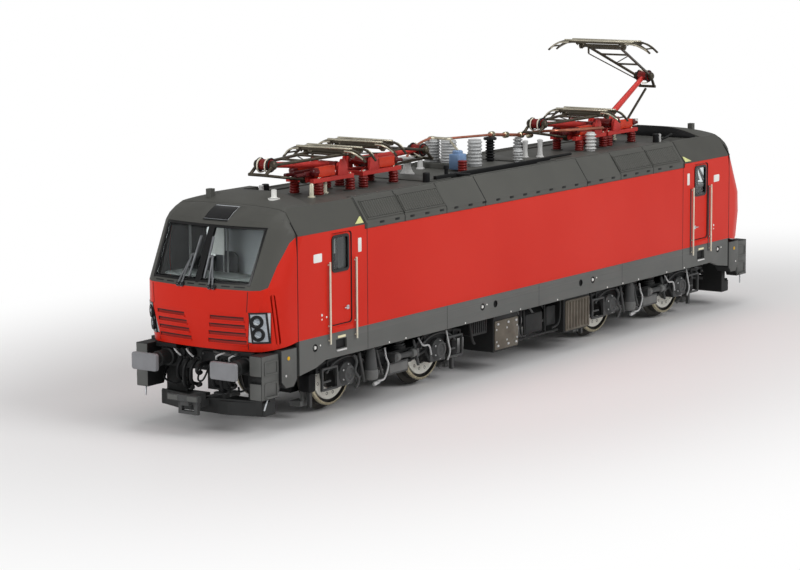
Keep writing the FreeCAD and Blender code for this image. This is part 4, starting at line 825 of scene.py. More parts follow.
        for a, b in ((first - 0.015, first + 0.02), (last - 0.03, last + 0.015)):
            border.append(skin(FORM.corner, (a, b), (low - 0.15, high + 0.15), -0.4, 0.1, (2, 6)))
        for a, b in ((low - 0.2, low + 0.15), (high - 0.15, high + 0.2)):
            border.append(skin(FORM.corner, (first - 0.015, last + 0.015), (a, b), -0.4, 0.1, (10, 1)))
        tray = skin(FORM.corner, (first + 0.01, last - 0.02), (low + 0.1, high - 0.1), -0.35, 0.02, (12, 6))
        for level in self.lens_levels:
            ring = turned_piece([(-0.55, 1.4), (0.24, 1.4), (0.34, 1.28), (0.3, 0.74), (-0.5, 0.7)],
                                (0, 0, 0), Axis.X, 28, True)
            bowl = turned_piece([(-0.5, 0.84), (-0.02, 0.82), (-0.02, 0.5), (-0.02, 0.2)], (0, 0, 0), Axis.X,
                                24)
            lens = turned_piece([(-0.1, 0.7), (0.08, 0.68), (0.24, 0.54), (0.33, 0.32), (0.36, 0.12)],
                                (0, 0, 0), Axis.X, 24)
            spot = FORM.corner(self.lens_share, level, 0.0)
            for pile, shape in ((bezels, ring), (bowls, bowl), (lenses, lens)):
                pile.append(shape.turned(Axis.Z, 40.0).moved(*spot))
        emit("lamp_borders", all_four(joined(border)), SEAL)
        emit("lamp_trays", all_four(tray), TRAY)
        emit("lamp_bezels", all_four(joined(bezels)), DARK)
        emit("lamp_bowls", all_four(joined(bowls)), SILVER)
        emit("lamp_lenses", all_four(joined(lenses)), LENS)

    def cab(self) -> None:
        """Back wall panels, a white card and a pale screen as painted light for the brightness seen through
        the far windows, desk, screens and seats seen through the glass.
        """
        panels = [slab(rounded((y0, 20.5), (y1, 37.6), 0.4, 3), 71.15, 71.5, Plane.FRONT, 0.1)
                  for y0, y1 in ((-14.5, -5.2), (-4.6, 4.2), (4.8, 14.6))]
        emit("cab_wall_panels", both_ends(joined(panels)), CABIN_PALE)
        seats = [joined([slab(rounded((y - 2.3, 24.0), (y + 2.3, 33.4), 0.9, 4), 79.3, 80.9, Plane.FRONT,
                              0.4),
                         slab(rounded((80.4, y - 2.3), (85.2, y + 2.3), 0.8, 4), 23.6, 25.0, Plane.TOP, 0.4)])
                 for y in (-7.0, 7.0)]
        emit("cab_seat_pads", both_ends(joined(seats)), DARK)
        desk = slab(rounded((90.6, -12.2), (96.2, 12.2), 1.2, 4), 27.5, 28.1, Plane.TOP, 0.2)
        screens = [brick((93.4, y - 1.6, 28.0), (93.9, y + 1.6, 29.6), 0.1) for y in (-8.2, -4.6, 4.6, 8.2)]
        emit("cab_desk_top", both_ends(desk), CABIN_PALE)
        emit("cab_desk_screens", both_ends(joined(screens)), DARK)
        # The white card and the pale screen are painted light: they stand in for the brightness seen through
        # the far windows.
        gap = brick((90.0, -6.7, 33.2), (90.2, -3.4, 39.9), 0.05)
        screen = slab(rounded((-7.8, 28.0), (2.4, 39.9), 0.4, 3), 84.0, 84.3, Plane.FRONT, 0.05)
        backrest = slab(rounded((-9.0, 28.0), (-2.9, 33.4), 1.7, 5), 85.6, 86.4, Plane.FRONT, 0.3)
        ledge = slab(rounded((93.0, -11.8), (100.2, 11.8), 1.4, 4), 29.95, 30.25, Plane.TOP, 0.1)
        rods = [bar((86.8, y, 28.4), (86.8, y, 40.2), 0.2) for y in (-5.1, -6.2)] + [
            bar((88.6, -13.8, 30.0), (88.6, -13.8, 40.0), 0.3)]
        emit("cab_painted_light_gap", both_ends(gap), WHITE)
        emit("cab_painted_light_screen", both_ends(screen), CAB_PAINTED_LIGHT)
        emit("cab_backrest", both_ends(backrest), CABIN)
        emit("cab_sill_ledge", both_ends(ledge), CABIN_PALE)
        emit("cab_window_rods", both_ends(joined(rods)), MID_GREY)


@dataclass
class RoofCover:
    """The roof between the cabs: grilles, seams, eave slots, deck panels and lips."""

    seams: tuple[float, ...] = (54.0, 38.0, 22.5, -21.5, -37.2, -53.0)
    grilles: tuple[tuple[float, float], ...] = ((54.6, 67.0), (38.6, 53.4), (-52.4, -37.8), (-66.6, -53.6))
    rib_pitch: float = 0.82
    slot_pitch: float = 5.65

    def build(self) -> None:
        """Make the roof."""
        refined("roof_panels", ROOF, 0.14)
        emit("roof_grilles", both_sides(joined([self.grille(a, b) for a, b in self.grilles])), ROOF)
        bed = [skin(FORM.slope, (a, b), (0.14, 0.8), -0.1, 0.05, (2, 2))
               for a, b in self.grilles]
        emit("grille_beds", both_sides(joined(bed)), DARK)
        lines = []
        for x in self.seams + (68.4, -68.4):
            lines.append(skin(FORM.slope, (x - 0.11, x + 0.11), (-0.0, 1.0),
                              -0.15, 0.035, (1, 2)))
            lines.append(brick((x - 0.11, 17.05, 37.85), (x + 0.11, 17.23, 39.2), 0.02))
        emit("roof_seams", both_sides(joined(lines)), DARK)
        rim = []
        for a, b in self.grilles:
            for share in (0.12, 0.82):
                rim.append(skin(FORM.slope, (a - 0.35, b + 0.35),
                                (share - 0.025, share + 0.025), -0.1, 0.2, (2, 1)))
            for x in (a - 0.25, b + 0.25):
                rim.append(skin(FORM.slope, (x - 0.14, x + 0.14), (0.12, 0.82),
                                -0.1, 0.2, (1, 2)))
        emit("grille_rims", both_sides(joined(rim)), ROOF)
        slot = slab(rounded((-0.85, 38.45), (0.85, 38.95), 0.2, 3), 17.1, 17.23, Plane.SIDE, 0.02)
        places = np.arange(62.5, -66.7, -self.slot_pitch)
        offsets = np.stack([places, 0 * places, 0 * places], axis=-1)
        emit("eave_slots", both_sides(slot.repeated(offsets)), DARK)
        spot = skin(lambda u, v, s: FORM.slope(69.2 + u * (1.0 - v / 0.3), v, s), (0.0, 3.2), (0.02, 0.27),
                    -0.05, 0.06, (2, 4))
        emit("slope_spots", all_four(spot), SPOT)
        side = np.linspace(-12.2, 12.2, 25)
        crown = np.stack([side, 46.4 - 1.9 * (np.abs(side) / 12.2) ** 2.5], axis=-1)
        back = np.concatenate([crown, [[12.2, 43.72], [-12.2, 43.72]]])
        emit("dome_backs", both_ends(slab(back, 82.88, 82.98, Plane.FRONT, 0.02)), DARK)
        hood_seam = [skin(FORM.slope, (92.2, 92.42), (-0.02, 0.5), -0.15, 0.02, (1, 2))]
        emit("hood_seams", all_four(joined(hood_seam)), DARK)
        self.deck()

    def grille(self, start: float, end: float) -> Shape:
        """One ribbed panel: along X the stand-off steps between a groove and a rib, and each
        station is a closed strip up the slope."""
        count = int(round((end - start) / self.rib_pitch))
        pitch = (end - start) / count
        share = np.array([0.0, 0.12, 0.24, 0.5, 0.62, 0.74])
        height = np.array([0.07, 0.22, 0.26, 0.26, 0.22, 0.07])
        xs = (start + pitch * (np.arange(count)[:, None] + share[None])).ravel()
        stand = np.tile(height, count)
        low, high = np.full_like(xs, 0.16), np.full_like(xs, 0.78)
        loop = [FORM.slope(xs, low, -0.1), FORM.slope(xs, low, stand), FORM.slope(xs, high, stand),
                FORM.slope(xs, high, -0.1)]
        return grid_shape(np.stack(loop, axis=1))

    def deck(self) -> None:
        """Raised deck plates, their screws and the long drain lips."""
        plates = [slab(rounded((a, -9.4), (b, 9.4), 0.6, 3), 43.6, 43.95, Plane.TOP, 0.12)
                  for a, b in ((24.2, 33.0), (-20.6, -12.0))]
        plates += [slab(rounded((a, y - 1.0), (b, y + 1.0), 0.3, 3), 43.6, 44.0, Plane.TOP, 0.12)
                   for a, b in ((-66.0, -38.2), (39.2, 66.0)) for y in (-11.4, 11.4)]
        emit("deck_plates", joined(plates), DECK)
        xs = np.arange(-64.0, 65.0, 8.0)
        screw = stud((0, 0, 43.98), 0.22, 0.12, Axis.Z, 1.0, 6)
        offsets = np.concatenate([np.stack([xs, np.full_like(xs, y), 0 * xs], axis=-1)
                                  for y in (-11.4, 11.4)])
        emit("deck_screws", screw.repeated(offsets[np.abs(offsets[:, 0]) > 38.5]), STEEL)
        lips = [bar((-68.0, 13.0, 44.22), (68.0, 13.0, 44.22), 0.16)]
        emit("drain_lips", both_sides(joined(lips)), ROOF)


@dataclass
class LowerBand:
    """The grey band under the body, its steps, sockets, plates and marks."""

    steps: tuple[float, ...] = (77.5, -77.5)
    sockets: tuple[float, ...] = (86.6, 23.8, -24.2, -86.6)
    plain_holes: tuple[float, ...] = (18.5, -18.65)

    def build(self) -> None:
        """Make the band and what is on it."""
        refined("side_bands", BAND, 0.1)
        balls, discs, treads, strips, shade_sheets = [], [], [], [], []
        for x in self.sockets + self.plain_holes:
            discs.append(turned_piece([(16.55, 0.86), (17.16, 0.86), (17.24, 0.8), (17.24, 0.68), (16.9, 0.6),
                                       (16.7, 0.2)], (x, 0, 15.1), Axis.Y, 20))
        for x in self.sockets:
            balls.append(turned_piece([(16.7, 0.3), (16.95, 0.42), (17.15, 0.36), (17.25, 0.15)],
                                      (x - 0.15, 0, 15.1), Axis.Y, 14))
            balls.append(stud((x - 1.75, 17.18, 15.4), 0.2, 0.1, Axis.Y))
        for x in self.steps:
            # A dark sheet at the back of each step pocket: painted shade in the recess.
            shade_sheets.append(brick((x - 1.85, 16.55, 13.75), (x + 1.85, 16.7, 15.75), 0.03))
            treads.append(brick((x - 1.7, 16.7, 13.25), (x + 1.7, 17.42, 13.62), 0.08))
            strips.append(brick((x - 1.5, 17.1, 16.0), (x + 1.2, 17.25, 16.5), 0.04))
        emit("band_socket_rims", both_sides(joined(discs)), DARK)
        emit("band_socket_plugs", both_sides(joined(balls)), WHITE)
        emit("step_pocket_shade_sheets", both_sides(joined(shade_sheets)), DARK)
        emit("step_treads", both_sides(joined(treads)), PALE)
        emit("step_strips", both_sides(joined(strips)), IVORY)
        xs = np.array([60.2, 54.0, 30.8, 12.0, 8.0, -8.2, -31.0, -38.4, -46.0, -60.0, -69.0])
        mark = stud((0, 17.18, 12.45), 0.2, 0.1, Axis.Y)
        emit("jacking_marks", both_sides(mark.repeated(np.stack([xs, 0 * xs, 0 * xs], axis=-1))), WHITE)
        seams = [brick((x - 0.06, 17.0, 12.2), (x + 0.06, 17.215, 17.2), 0.02)
                 for x in (38.0, 0.0, -38.0, 68.0, -68.0)]
        emit("band_seams", both_sides(joined(seams)), DARK)


@dataclass
class CabEnd:
    """One end below the body: beam, corner steps, plough, buffers, hoses, hook and coupler."""

    end: str
    coupler_body: str
    buffer_y: float = 10.3
    buffer_z: float = 12.9

    def put(self, name: str, shape: Shape, finish: Dress, body: str = ROOT,
            replaces: Sequence[str] = ()) -> None:
        """Make a front shape at this end."""
        there = shape if self.end == "front" else shape.mirrored(Axis.X)
        emit(f"{self.end}_{name}", there, finish, body, replaces)

    def build(self) -> None:
        """Make the end."""
        refined(f"{self.end}_end_casting", UNDER, 0.12)
        self.buffers()
        self.corner_steps()
        self.hoses()
        self.coupler()

    def buffers(self) -> None:
        """Crowned plates with two stepped plates behind and a collared shank: the plate's face
        bulges by a quadratic of the distance from its middle."""
        plates, backs = [], []
        outline = rounded((-3.3, -1.8), (3.3, 1.8), 0.5, 4)
        for y in (-self.buffer_y, self.buffer_y):
            rings = []
            for share, x in ((1.0, 107.75), (1.0, 108.45), (0.965, 108.62), (0.75, 108.72), (0.4, 108.78),
                             (0.1, 108.8)):
                rings.append(placed(outline * share + np.array([y, self.buffer_z]), x, Plane.FRONT))
            plates.append(grid_shape(np.stack(rings)))
            for half, tall, x0, x1 in ((3.05, 1.7, 107.3, 107.75), (2.3, 1.5, 106.8, 107.3)):
                ring = rounded((y - half, self.buffer_z - tall), (y + half, self.buffer_z + tall), 0.5, 3)
                backs.append(slab(ring, x0, x1, Plane.FRONT, 0.08))
            backs.append(turned_piece([(99.3, 1.9), (101.2, 1.9), (101.4, 1.6), (104.2, 1.6), (104.4, 1.35),
                                       (106.9, 1.3)], (0, y, self.buffer_z), Axis.X, 28))
            backs.append(slab(rounded((y - 2.4, 10.9), (y + 2.4, 14.9), 0.4, 3), 99.35, 100.0, Plane.FRONT,
                              0.1))
            for dy in (-1.9, 1.9):
                for dz in (-1.5, 1.5):
                    backs.append(stud((99.95, y + dy, self.buffer_z + dz), 0.22, 0.2, Axis.X))
        self.put("buffer_plates", joined(plates), BUFFER, ROOT, (f"{self.end}_buffers",))
        self.put("buffer_shanks", joined(backs), UNDER)

    def corner_steps(self) -> None:
        """Grey step blocks at the corners, their frames, treads, grips and the yellow mark."""
        side = np.array([[92.9, 16.1], [97.9, 16.1], [97.9, 9.7], [96.5, 8.3], [94.0, 8.3], [92.9, 9.7]])
        cheek = slab(side, 17.06, 17.14, Plane.SIDE, 0.03)
        block = slab(np.array([[98.0, 15.6], [103.6, 15.6], [103.6, 6.7], [98.8, 6.7], [98.0, 8.4]]), 16.36,
                     16.44, Plane.SIDE, 0.03)
        faces = [slab(rounded((13.45, z0), (16.35, z1), 0.2, 3), 103.6, 103.78, Plane.FRONT, 0.06)
                 for z0, z1 in ((6.7, 10.0), (11.6, 15.6))]
        frames, well_shade_sheets, bars = [], [], []
        for x0, x1, z0, z1 in ((98.7, 102.5, 11.9, 14.2), (98.8, 102.5, 7.2, 9.8)):
            frames.append(frame_ring(rounded((x0 - 0.3, z0 - 0.3), (x1 + 0.3, z1 + 0.3), 0.3, 3), 0.34,
                                     16.3, 16.62, Plane.SIDE))
            # A dark plate behind each grating: painted shade in the step's hollow.
            well_shade_sheets.append(slab(rounded((x0, z0), (x1, z1), 0.2, 3), 15.82, 15.9, Plane.SIDE, 0.01))
            bars += [bar((x, 16.1, z0 + 0.1), (x, 16.1, z1 - 0.1), 0.09, 6)
                     for x in np.arange(x0 + 0.5, x1, 0.62)]
        tread = brick((98.9, 15.9, 6.95), (102.6, 17.05, 7.25), 0.06)
        self.put("corner_step_faces", both_sides(joined([cheek, block] + faces)), STEP_GREY)
        self.put("corner_step_frames", both_sides(joined(frames + [tread])), STEP_GREY)
        self.put("corner_step_bars", both_sides(joined(bars)), UNDER)
        self.put("corner_step_well_shade_sheets", both_sides(joined(well_shade_sheets)), DARK)
        self.put("corner_marks", both_sides(stud((95.6, 17.13, 14.3), 0.42, 0.12, Axis.Y, 1.0, 14)), YELLOW)
        self.put("corner_rivets", both_sides(stud((96.5, 17.13, 10.8), 0.26, 0.12, Axis.Y)), PALE)
        grip = bar((101.2, 16.0, 6.7), (101.9, 15.6, 4.3), 0.17)
        self.put("corner_grips", both_sides(grip), SILVER)

    def hoses(self) -> None:
        """Brake hoses, sockets, cables, the draw hook and its shackle."""
        black, steel, grey = [], [], []
        for y, reach, drop in ((2.6, 2.6, 7.6), (4.6, 2.2, 6.8), (6.4, 1.9, 8.2)):
            black.append(wire(((99.0, y, 12.9), (100.8, y, 13.0), (101.4 + reach * 0.4, y + 0.2, 11.2),
                               (100.9 + reach * 0.5, y + 0.3, drop + 1.0), (100.2, y + 0.1, drop)), 0.38,
                              (0, 1, 0)))
            steel.append(turned_piece([(98.9, 0.55), (100.0, 0.55), (100.1, 0.45), (100.9, 0.45)],
                                      (0, y, 12.95), Axis.X, 12))
            steel.append(turned_piece([(99.6, 0.5), (100.4, 0.55), (100.8, 0.35)], (0, y + 0.1, drop), Axis.X,
                                      12))
        hook = wire(((99.0, 0, 12.4), (101.6, 0, 12.5), (103.4, 0, 12.2), (104.0, 0, 11.4), (103.4, 0, 10.7),
                     (102.6, 0, 10.9)), 0.42, (0, 1, 0))
        shackle = wire(((101.0, -0.9, 12.2), (102.4, -0.9, 10.2), (103.0, -0.5, 9.2), (103.0, 0.5, 9.2),
                        (102.4, 0.9, 10.2), (101.0, 0.9, 12.2)), 0.2, (1, 0, 0))
        black += [hook, shackle]
        plate = slab(rounded((-2.2, 11.0), (2.2, 14.8), 0.5, 3), 99.3, 99.9, Plane.FRONT, 0.12)
        grey.append(both_sides(slab(rounded((7.2, 14.95), (12.6, 15.9), 0.2, 3), 98.6, 101.9, Plane.FRONT,
                                    0.12)))
        grey.append(plate)
        pipe = wire(((99.6, 1.0, 14.9), (101.0, 2.4, 15.1), (101.2, 5.0, 14.7), (100.6, 7.4, 14.9)), 0.28)
        steel.append(pipe)
        steel.append(brick((99.4, 8.6, 15.0), (102.6, 9.2, 15.5), 0.1))
        bright = [wire(((99.4, y, 14.6), (101.2, y - 0.3, 15.0), (102.0, y - 1.6, 14.4),
                        (101.4, y - 2.2, 13.6)), 0.2)
                  for y in (5.2, 8.6)]
        self.put("beam_cables", both_sides(joined(bright)), MID_GREY)
        for x, y, z in ((99.9, 1.6, 11.6), (99.9, -1.6, 11.6), (99.9, 1.6, 14.2), (99.9, -1.6, 14.2)):
            steel.append(stud((x, y, z), 0.24, 0.2, Axis.X))
        lids = [turned_piece([(99.3, 0.95), (100.5, 0.95), (100.8, 0.8), (100.9, 0.3)], (0, y, 14.1), Axis.X,
                             18)
                for y in (-4.6, -6.6)]
        self.put("brake_hoses", both_sides(joined(black[:3])), DARK)
        self.put("draw_hook", joined(black[3:]), DARK)
        self.put("beam_fittings", both_sides(joined(steel[:6])), GEAR_GREY)
        self.put("beam_pipes", joined(steel[6:]), GEAR_GREY)
        self.put("beam_plates", joined(grey), DARK)
        self.put("jumper_sockets", joined(lids), DARK)
        lower = wire(((99.3, 11.6, 10.4), (101.2, 11.2, 8.6), (101.0, 8.8, 7.4), (99.8, 7.4, 7.9)), 0.22,
                     (0, 1, 0))
        self.put("step_wires", both_sides(lower), DARK)
        blade = slab(np.array([[101.7, -3.2], [101.7, 3.2], [99.5, 13.2], [99.2, 13.2], [101.2, 3.0],
                               [101.2, -3.0], [99.2, -13.2], [99.5, -13.2]]), 2.4, 5.6, Plane.TOP, 0.08)
        self.put("plough_blade", blade, UNDER)

    def coupler(self) -> None:
        """The coupler's shank, front plate and hanging loop, with the plate's two pads."""
        refined(f"{self.end}_coupler", GEAR_GREY, 0.12, body=self.coupler_body)
        pads = [slab(rounded((y - 1.3, 5.95), (y + 1.3, 6.95), 0.3, 3), 108.7, 108.98, Plane.FRONT, 0.08)
                for y in (-2.5, 2.5)]
        self.put("coupler_pads", joined(pads), STEP_GREY, self.coupler_body)


@dataclass
class Underfloor:
    """Boxes, tanks and pipes between the bogies."""

    def build(self) -> None:
        """Make the equipment under the floor."""
        refined("underframe", DARK, 0.15)
        dress("motor_block", DARK)
        refined("underfloor_boxes", UNDER, 0.25)
        refined("air_tanks", UNDER, 0.3)
        self.box_fronts()
        self.pipes()

    def box_fronts(self) -> None:
        """Lids, latches, vents and ribs on the boxes' faces."""
        lids = [slab(rounded((6.9, 3.9), (16.6, 10.6), 0.4, 3), 15.5, 15.9, Plane.SIDE, 0.12)]
        ribs = [slab(rounded((-25.0, 3.9), (-14.2, 11.2), 0.4, 3), 15.5, 15.85, Plane.SIDE, 0.12)]
        ribs += [brick((x, 15.8, 4.4), (x + 0.35, 16.05, 10.8), 0.06) for x in np.arange(-24.4, -14.8, 1.35)]
        latches = [brick((x, 15.85, z), (x + 0.7, 16.1, z + 0.5), 0.08)
                   for x in (7.6, 10.9, 15.2) for z in (4.6, 9.6)]
        screws = [stud((x, 15.85, z), 0.25, 0.15, Axis.Y) for x in (7.4, 11.7, 16.0) for z in (5.8, 8.6)]
        vents = [brick((x, 14.95, 8.8), (x + 0.3, 15.2, 12.6), 0.05) for x in np.arange(19.2, 24.4, 0.8)]
        emit("apparatus_box_lids", both_sides(joined(lids)), BOX)
        emit("apparatus_box_ribs", both_sides(joined(ribs)), BOX)
        emit("box_latches", both_sides(joined(latches + screws)), MID_GREY)
        emit("box_vents", both_sides(joined(vents)), UNDER)
        straps = [turned_piece([(x - 0.35, 2.42), (x - 0.3, 2.5), (x + 0.3, 2.5), (x + 0.35, 2.42)],
                               (0, 10.9, 9.7 - RAIL), Axis.X, 32) for x in (-9.0, -3.7, 1.6)]
        emit("tank_straps", both_sides(joined(straps)), MID_GREY)

    def pipes(self) -> None:
        """Pipes and brackets that hang under the band."""
        runs = [wire(((26.2, 15.2, 12.2), (26.0, 15.4, 9.6), (25.2, 15.4, 7.4), (24.2, 15.2, 6.6)), 0.3,
                     (0, 1, 0)),
                wire(((4.8, 15.2, 12.0), (4.9, 15.2, 8.2), (4.4, 15.2, 5.8), (2.6, 15.2, 5.2)), 0.26,
                     (0, 1, 0)),
                wire(((-12.9, 15.0, 12.0), (-12.6, 15.1, 8.0), (-11.6, 15.1, 6.0), (-9.0, 15.0, 5.4)), 0.26,
                     (0, 1, 0)),
                wire(((-26.6, 15.0, 12.0), (-26.9, 15.3, 8.2), (-26.4, 15.3, 5.4)), 0.3, (0, 1, 0))]
        emit("underfloor_pipes", both_sides(joined(runs)), UNDER)
        rail = [bar((-12.4, 14.6, 4.6), (5.8, 14.6, 4.6), 0.3),
                bar((2.0, 14.4, 4.6), (2.0, 14.2, 11.6), 0.25),
                bar((-7.0, 14.4, 4.6), (-7.0, 14.2, 11.6), 0.25)]
        units = [slab(rounded((-6.2, 5.2), (1.2, 9.8), 0.4, 3), 13.4, 14.3, Plane.SIDE, 0.2),
                 slab(rounded((-11.8, 6.0), (-7.8, 10.6), 0.4, 3), 13.4, 14.4, Plane.SIDE, 0.2)]
        emit("underfloor_rails", both_sides(joined(rail)), UNDER)
        emit("underfloor_units", both_sides(joined(units)), UNDER)


# ------------------------------------------------------------------------------ running gear
@dataclass
class Bogie:
    """One bogie, its left side as seen from the left and its right side the same turned half round."""

    end: str
    pivot: float = 54.6
    axle: float = 17.25
    axle_z: float = 7.2
    face: float = 13.6
    edge: tuple[tuple[float, float], ...] = ((-26.8, 8.6), (-26.8, 10.4), (-21.0, 11.3), (-12.5, 11.3),
                                             (-8.5, 9.2), (8.5, 9.2), (12.5, 11.3), (21.0, 11.3),
                                             (27.4, 10.4),
                                             (27.4, 8.6), (21.4, 8.6), (20.0, 4.6), (14.5, 4.6), (12.6, 7.2),
                                             (7.0, 6.0), (-7.0, 6.0), (-12.6, 7.2), (-14.5, 4.6),
                                             (-20.0, 4.6),
                                             (-21.4, 8.6))

    def put(self, name: str, left: Shape, finish: Dress, replaces: Sequence[str] = ()) -> None:
        """Make a left-hand shape, given from the pivot, on both sides of this bogie."""
        pair = joined([left, left.turned(Axis.Z, 180.0)])
        middle = self.pivot if self.end == "front" else -self.pivot
        emit(f"{self.end}_{name}", pair.moved(middle), finish, f"{self.end}_bogie", replaces)

    def build(self) -> None:
        """Make the bogie."""
        refined(f"{self.end}_bogie_frame", DARK, 0.15, body=f"{self.end}_bogie")
        refined(f"{self.end}_bogie_fittings", GEAR_GREY, 0.1, body=f"{self.end}_bogie")
        self.side_frame()
        self.springs()
        self.rods()
        self.guards()

    def side_frame(self) -> None:
        """The frame's raised edge, ribs and bolts, and the covers of the axle boxes."""
        rim = frame_ring(np.array(self.edge), 0.55, self.face - 0.4, self.face + 0.35, Plane.SIDE)
        ribs = [brick((x - 0.25, self.face - 0.2, 8.2), (x + 0.25, self.face + 0.5, 10.9), 0.1)
                for x in (-23.6, -12.4, 12.4, 23.6)]
        self.put("frame_rims", joined([rim] + ribs), UNDER)
        covers, bolts = [], []
        for x in (-self.axle, self.axle):
            covers.append(turned_piece([(self.face, 2.5), (14.3, 2.5), (14.6, 2.2), (15.0, 1.95),
                                        (15.25, 1.75),
                                        (15.25, 1.3), (15.05, 1.15), (15.1, 0.5), (15.3, 0.25)],
                                       (x, 0, self.axle_z), Axis.Y, 32))
            covers.append(slab(rounded((x - 3.0, self.axle_z - 2.6), (x + 3.0, self.axle_z + 0.9), 0.7, 4),
                               self.face - 0.1, 14.2, Plane.SIDE, 0.2))
            for turn in range(6):
                angle = math.radians(30 + turn * 60)
                bolts.append(stud((x + 1.95 * math.cos(angle), 14.75, self.axle_z + 1.95 * math.sin(angle)),
                                  0.24, 0.22, Axis.Y))
        self.put("axle_box_covers", joined(covers), GEAR_GREY)
        self.put("axle_box_bolts", joined(bolts), MID_GREY)

    def springs(self) -> None:
        """Coil springs between cups, and ribbed rubber buffers beside them."""
        coils, cups = [], []
        for x in (-4.2, 4.2):
            coils.append(coil((x, 12.3, 9.9), 1.45, 0.27, 4.7, 5.5))
            cups.append(turned_piece([(9.2, 1.9), (9.9, 1.9), (10.0, 1.6), (10.0, 1.0), (14.8, 1.0),
                                      (14.8, 1.9), (15.4, 1.9)], (x, 12.3, 0), Axis.Z, 24))
        steps = [(9.3 + 0.35 * k, 1.0 if k % 2 else 1.25) for k in range(9)]
        for x in (-11.6, 9.2):
            cups.append(turned_piece(steps, (x, 12.2, 0), Axis.Z, 20))
        self.put("bogie_coils", joined(coils), GEAR_GREY, (f"{self.end}_bogie_springs",))
        self.put("spring_cups", joined(cups), UNDER)

    def rods(self) -> None:
        """Struts, brake rods, the box lid under the long damper and its pipes."""
        grey = [wire(((15.6, 14.9, 11.0), (15.0, 15.3, 9.6), (15.6, 15.3, 7.6), (14.2, 15.3, 5.6),
                      (15.0, 15.0, 3.6)),
                     0.34, (0, 1, 0)),
                bar((13.2, 14.6, 11.2), (11.9, 15.0, 4.6), 0.38),
                bar((6.9, 14.6, 10.8), (5.2, 15.0, 5.2), 0.3),
                bar((-7.2, 14.5, 10.9), (-8.6, 14.9, 5.0), 0.34)]
        for x in (-self.axle, self.axle):
            for radius, y in ((8.75, 12.9), (7.85, 14.2)):
                angle = np.radians(np.linspace(28, 152, 17))
                arch = np.stack([x + radius * np.cos(angle), np.full(17, y),
                                 self.axle_z - 1.2 + radius * 0.62 * np.sin(angle)], axis=-1)
                grey.append(carried(arch, circle(0.24, 8), (0, 1, 0)))
        self.put("brake_rods", joined(grey), GEAR_GREY)
        lid = slab(rounded((-4.3, 4.9), (2.5, 6.8), 0.3, 3), 14.85, 15.05, Plane.SIDE, 0.07)
        ends = [turned_piece([(x0, 0.62), (x0 + 0.2, 0.95), (x0 + 1.3, 0.95), (x0 + 1.5, 0.62)],
                             (0, 15.2, 8.2), Axis.X, 18) for x0 in (-6.6, -0.6)]
        cap = turned_piece([(4.85, 1.15), (5.0, 1.5), (5.5, 1.62), (6.9, 1.6), (7.1, 1.4), (11.2, 1.02),
                            (11.6, 0.85), (11.7, 0.3)], (9.9, 15.3, 0), Axis.Z, 24)
        self.put("damper_bodies", joined([lid, cap] + ends), DAMPER)
        thin = [wire(((-19.6, 14.9, 11.2), (-19.9, 15.2, 8.6), (-20.6, 15.2, 6.4), (-20.2, 14.8, 4.4)), 0.2,
                     (0, 1, 0)),
                wire(((3.4, 14.4, 10.6), (3.8, 15.0, 8.8), (3.2, 15.2, 7.0), (4.4, 15.0, 4.2),
                      (6.2, 14.6, 3.8)),
                     0.22, (0, 1, 0)),
                wire(((-9.6, 14.2, 10.9), (-10.4, 14.9, 9.2), (-12.6, 15.0, 8.8), (-13.8, 14.8, 6.6)), 0.2,
                     (0, 1, 0)),
                bar((5.2, 14.2, 3.6), (7.4, 14.2, 3.2), 0.45)]
        self.put("bogie_cables", joined(thin), MID_GREY)

    def guards(self) -> None:
        """Bracket frames in front of the wheels, sand boxes, sand pipes and rail guards."""
        frames, boxes, feet = [], [], []
        for way in SIDES:
            x0, x1 = sorted((way * 20.8, way * 26.4))
            frames.append(frame_ring(rounded((x0, 4.7), (x1, 9.6), 0.3, 3), 0.42, 14.2, 14.75, Plane.SIDE))
            frames.append(brick((way * 23.4 - 0.2, 14.25, 6.4), (way * 23.4 + 2.6, 14.65, 6.8), 0.08))
            frames.append(bar((way * 21.2, 13.4, 9.3), (way * 21.2, 14.4, 9.3), 0.25))
            x0, x1 = sorted((way * 25.5, way * 27.9))
            boxes.append(slab(rounded((x0, 4.4), (x1, 8.5), 0.6, 4), 9.6, 12.4, Plane.SIDE, 0.3))
            boxes.append(slab(rounded((x0 + 0.4, 8.4), (x1 - 0.4, 9.3), 0.3, 3), 10.2, 11.8, Plane.SIDE,
                              0.15))
            feet.append(wire(((way * 26.8, 11.6, 4.8), (way * 26.6, 11.0, 3.4), (way * 25.9, 9.6, 2.2),
                              (way * 25.2, 8.9, 1.3)), 0.38, (0, 1, 0)))
            x0, x1 = sorted((way * 25.6, way * 28.6))
            feet.append(brick((x0, 7.7, 1.4), (x1, 10.6, 2.6), 0.25))
            feet.append(brick((x0 + 0.8, 9.8, 2.4), (x1 - 0.9, 10.5, 4.8), 0.15))
        self.put("wheel_brackets", joined(frames), GEAR_GREY)
        self.put("sand_boxes", joined(boxes), DARK)
        self.put("rail_guards", joined(feet), DAMPER)


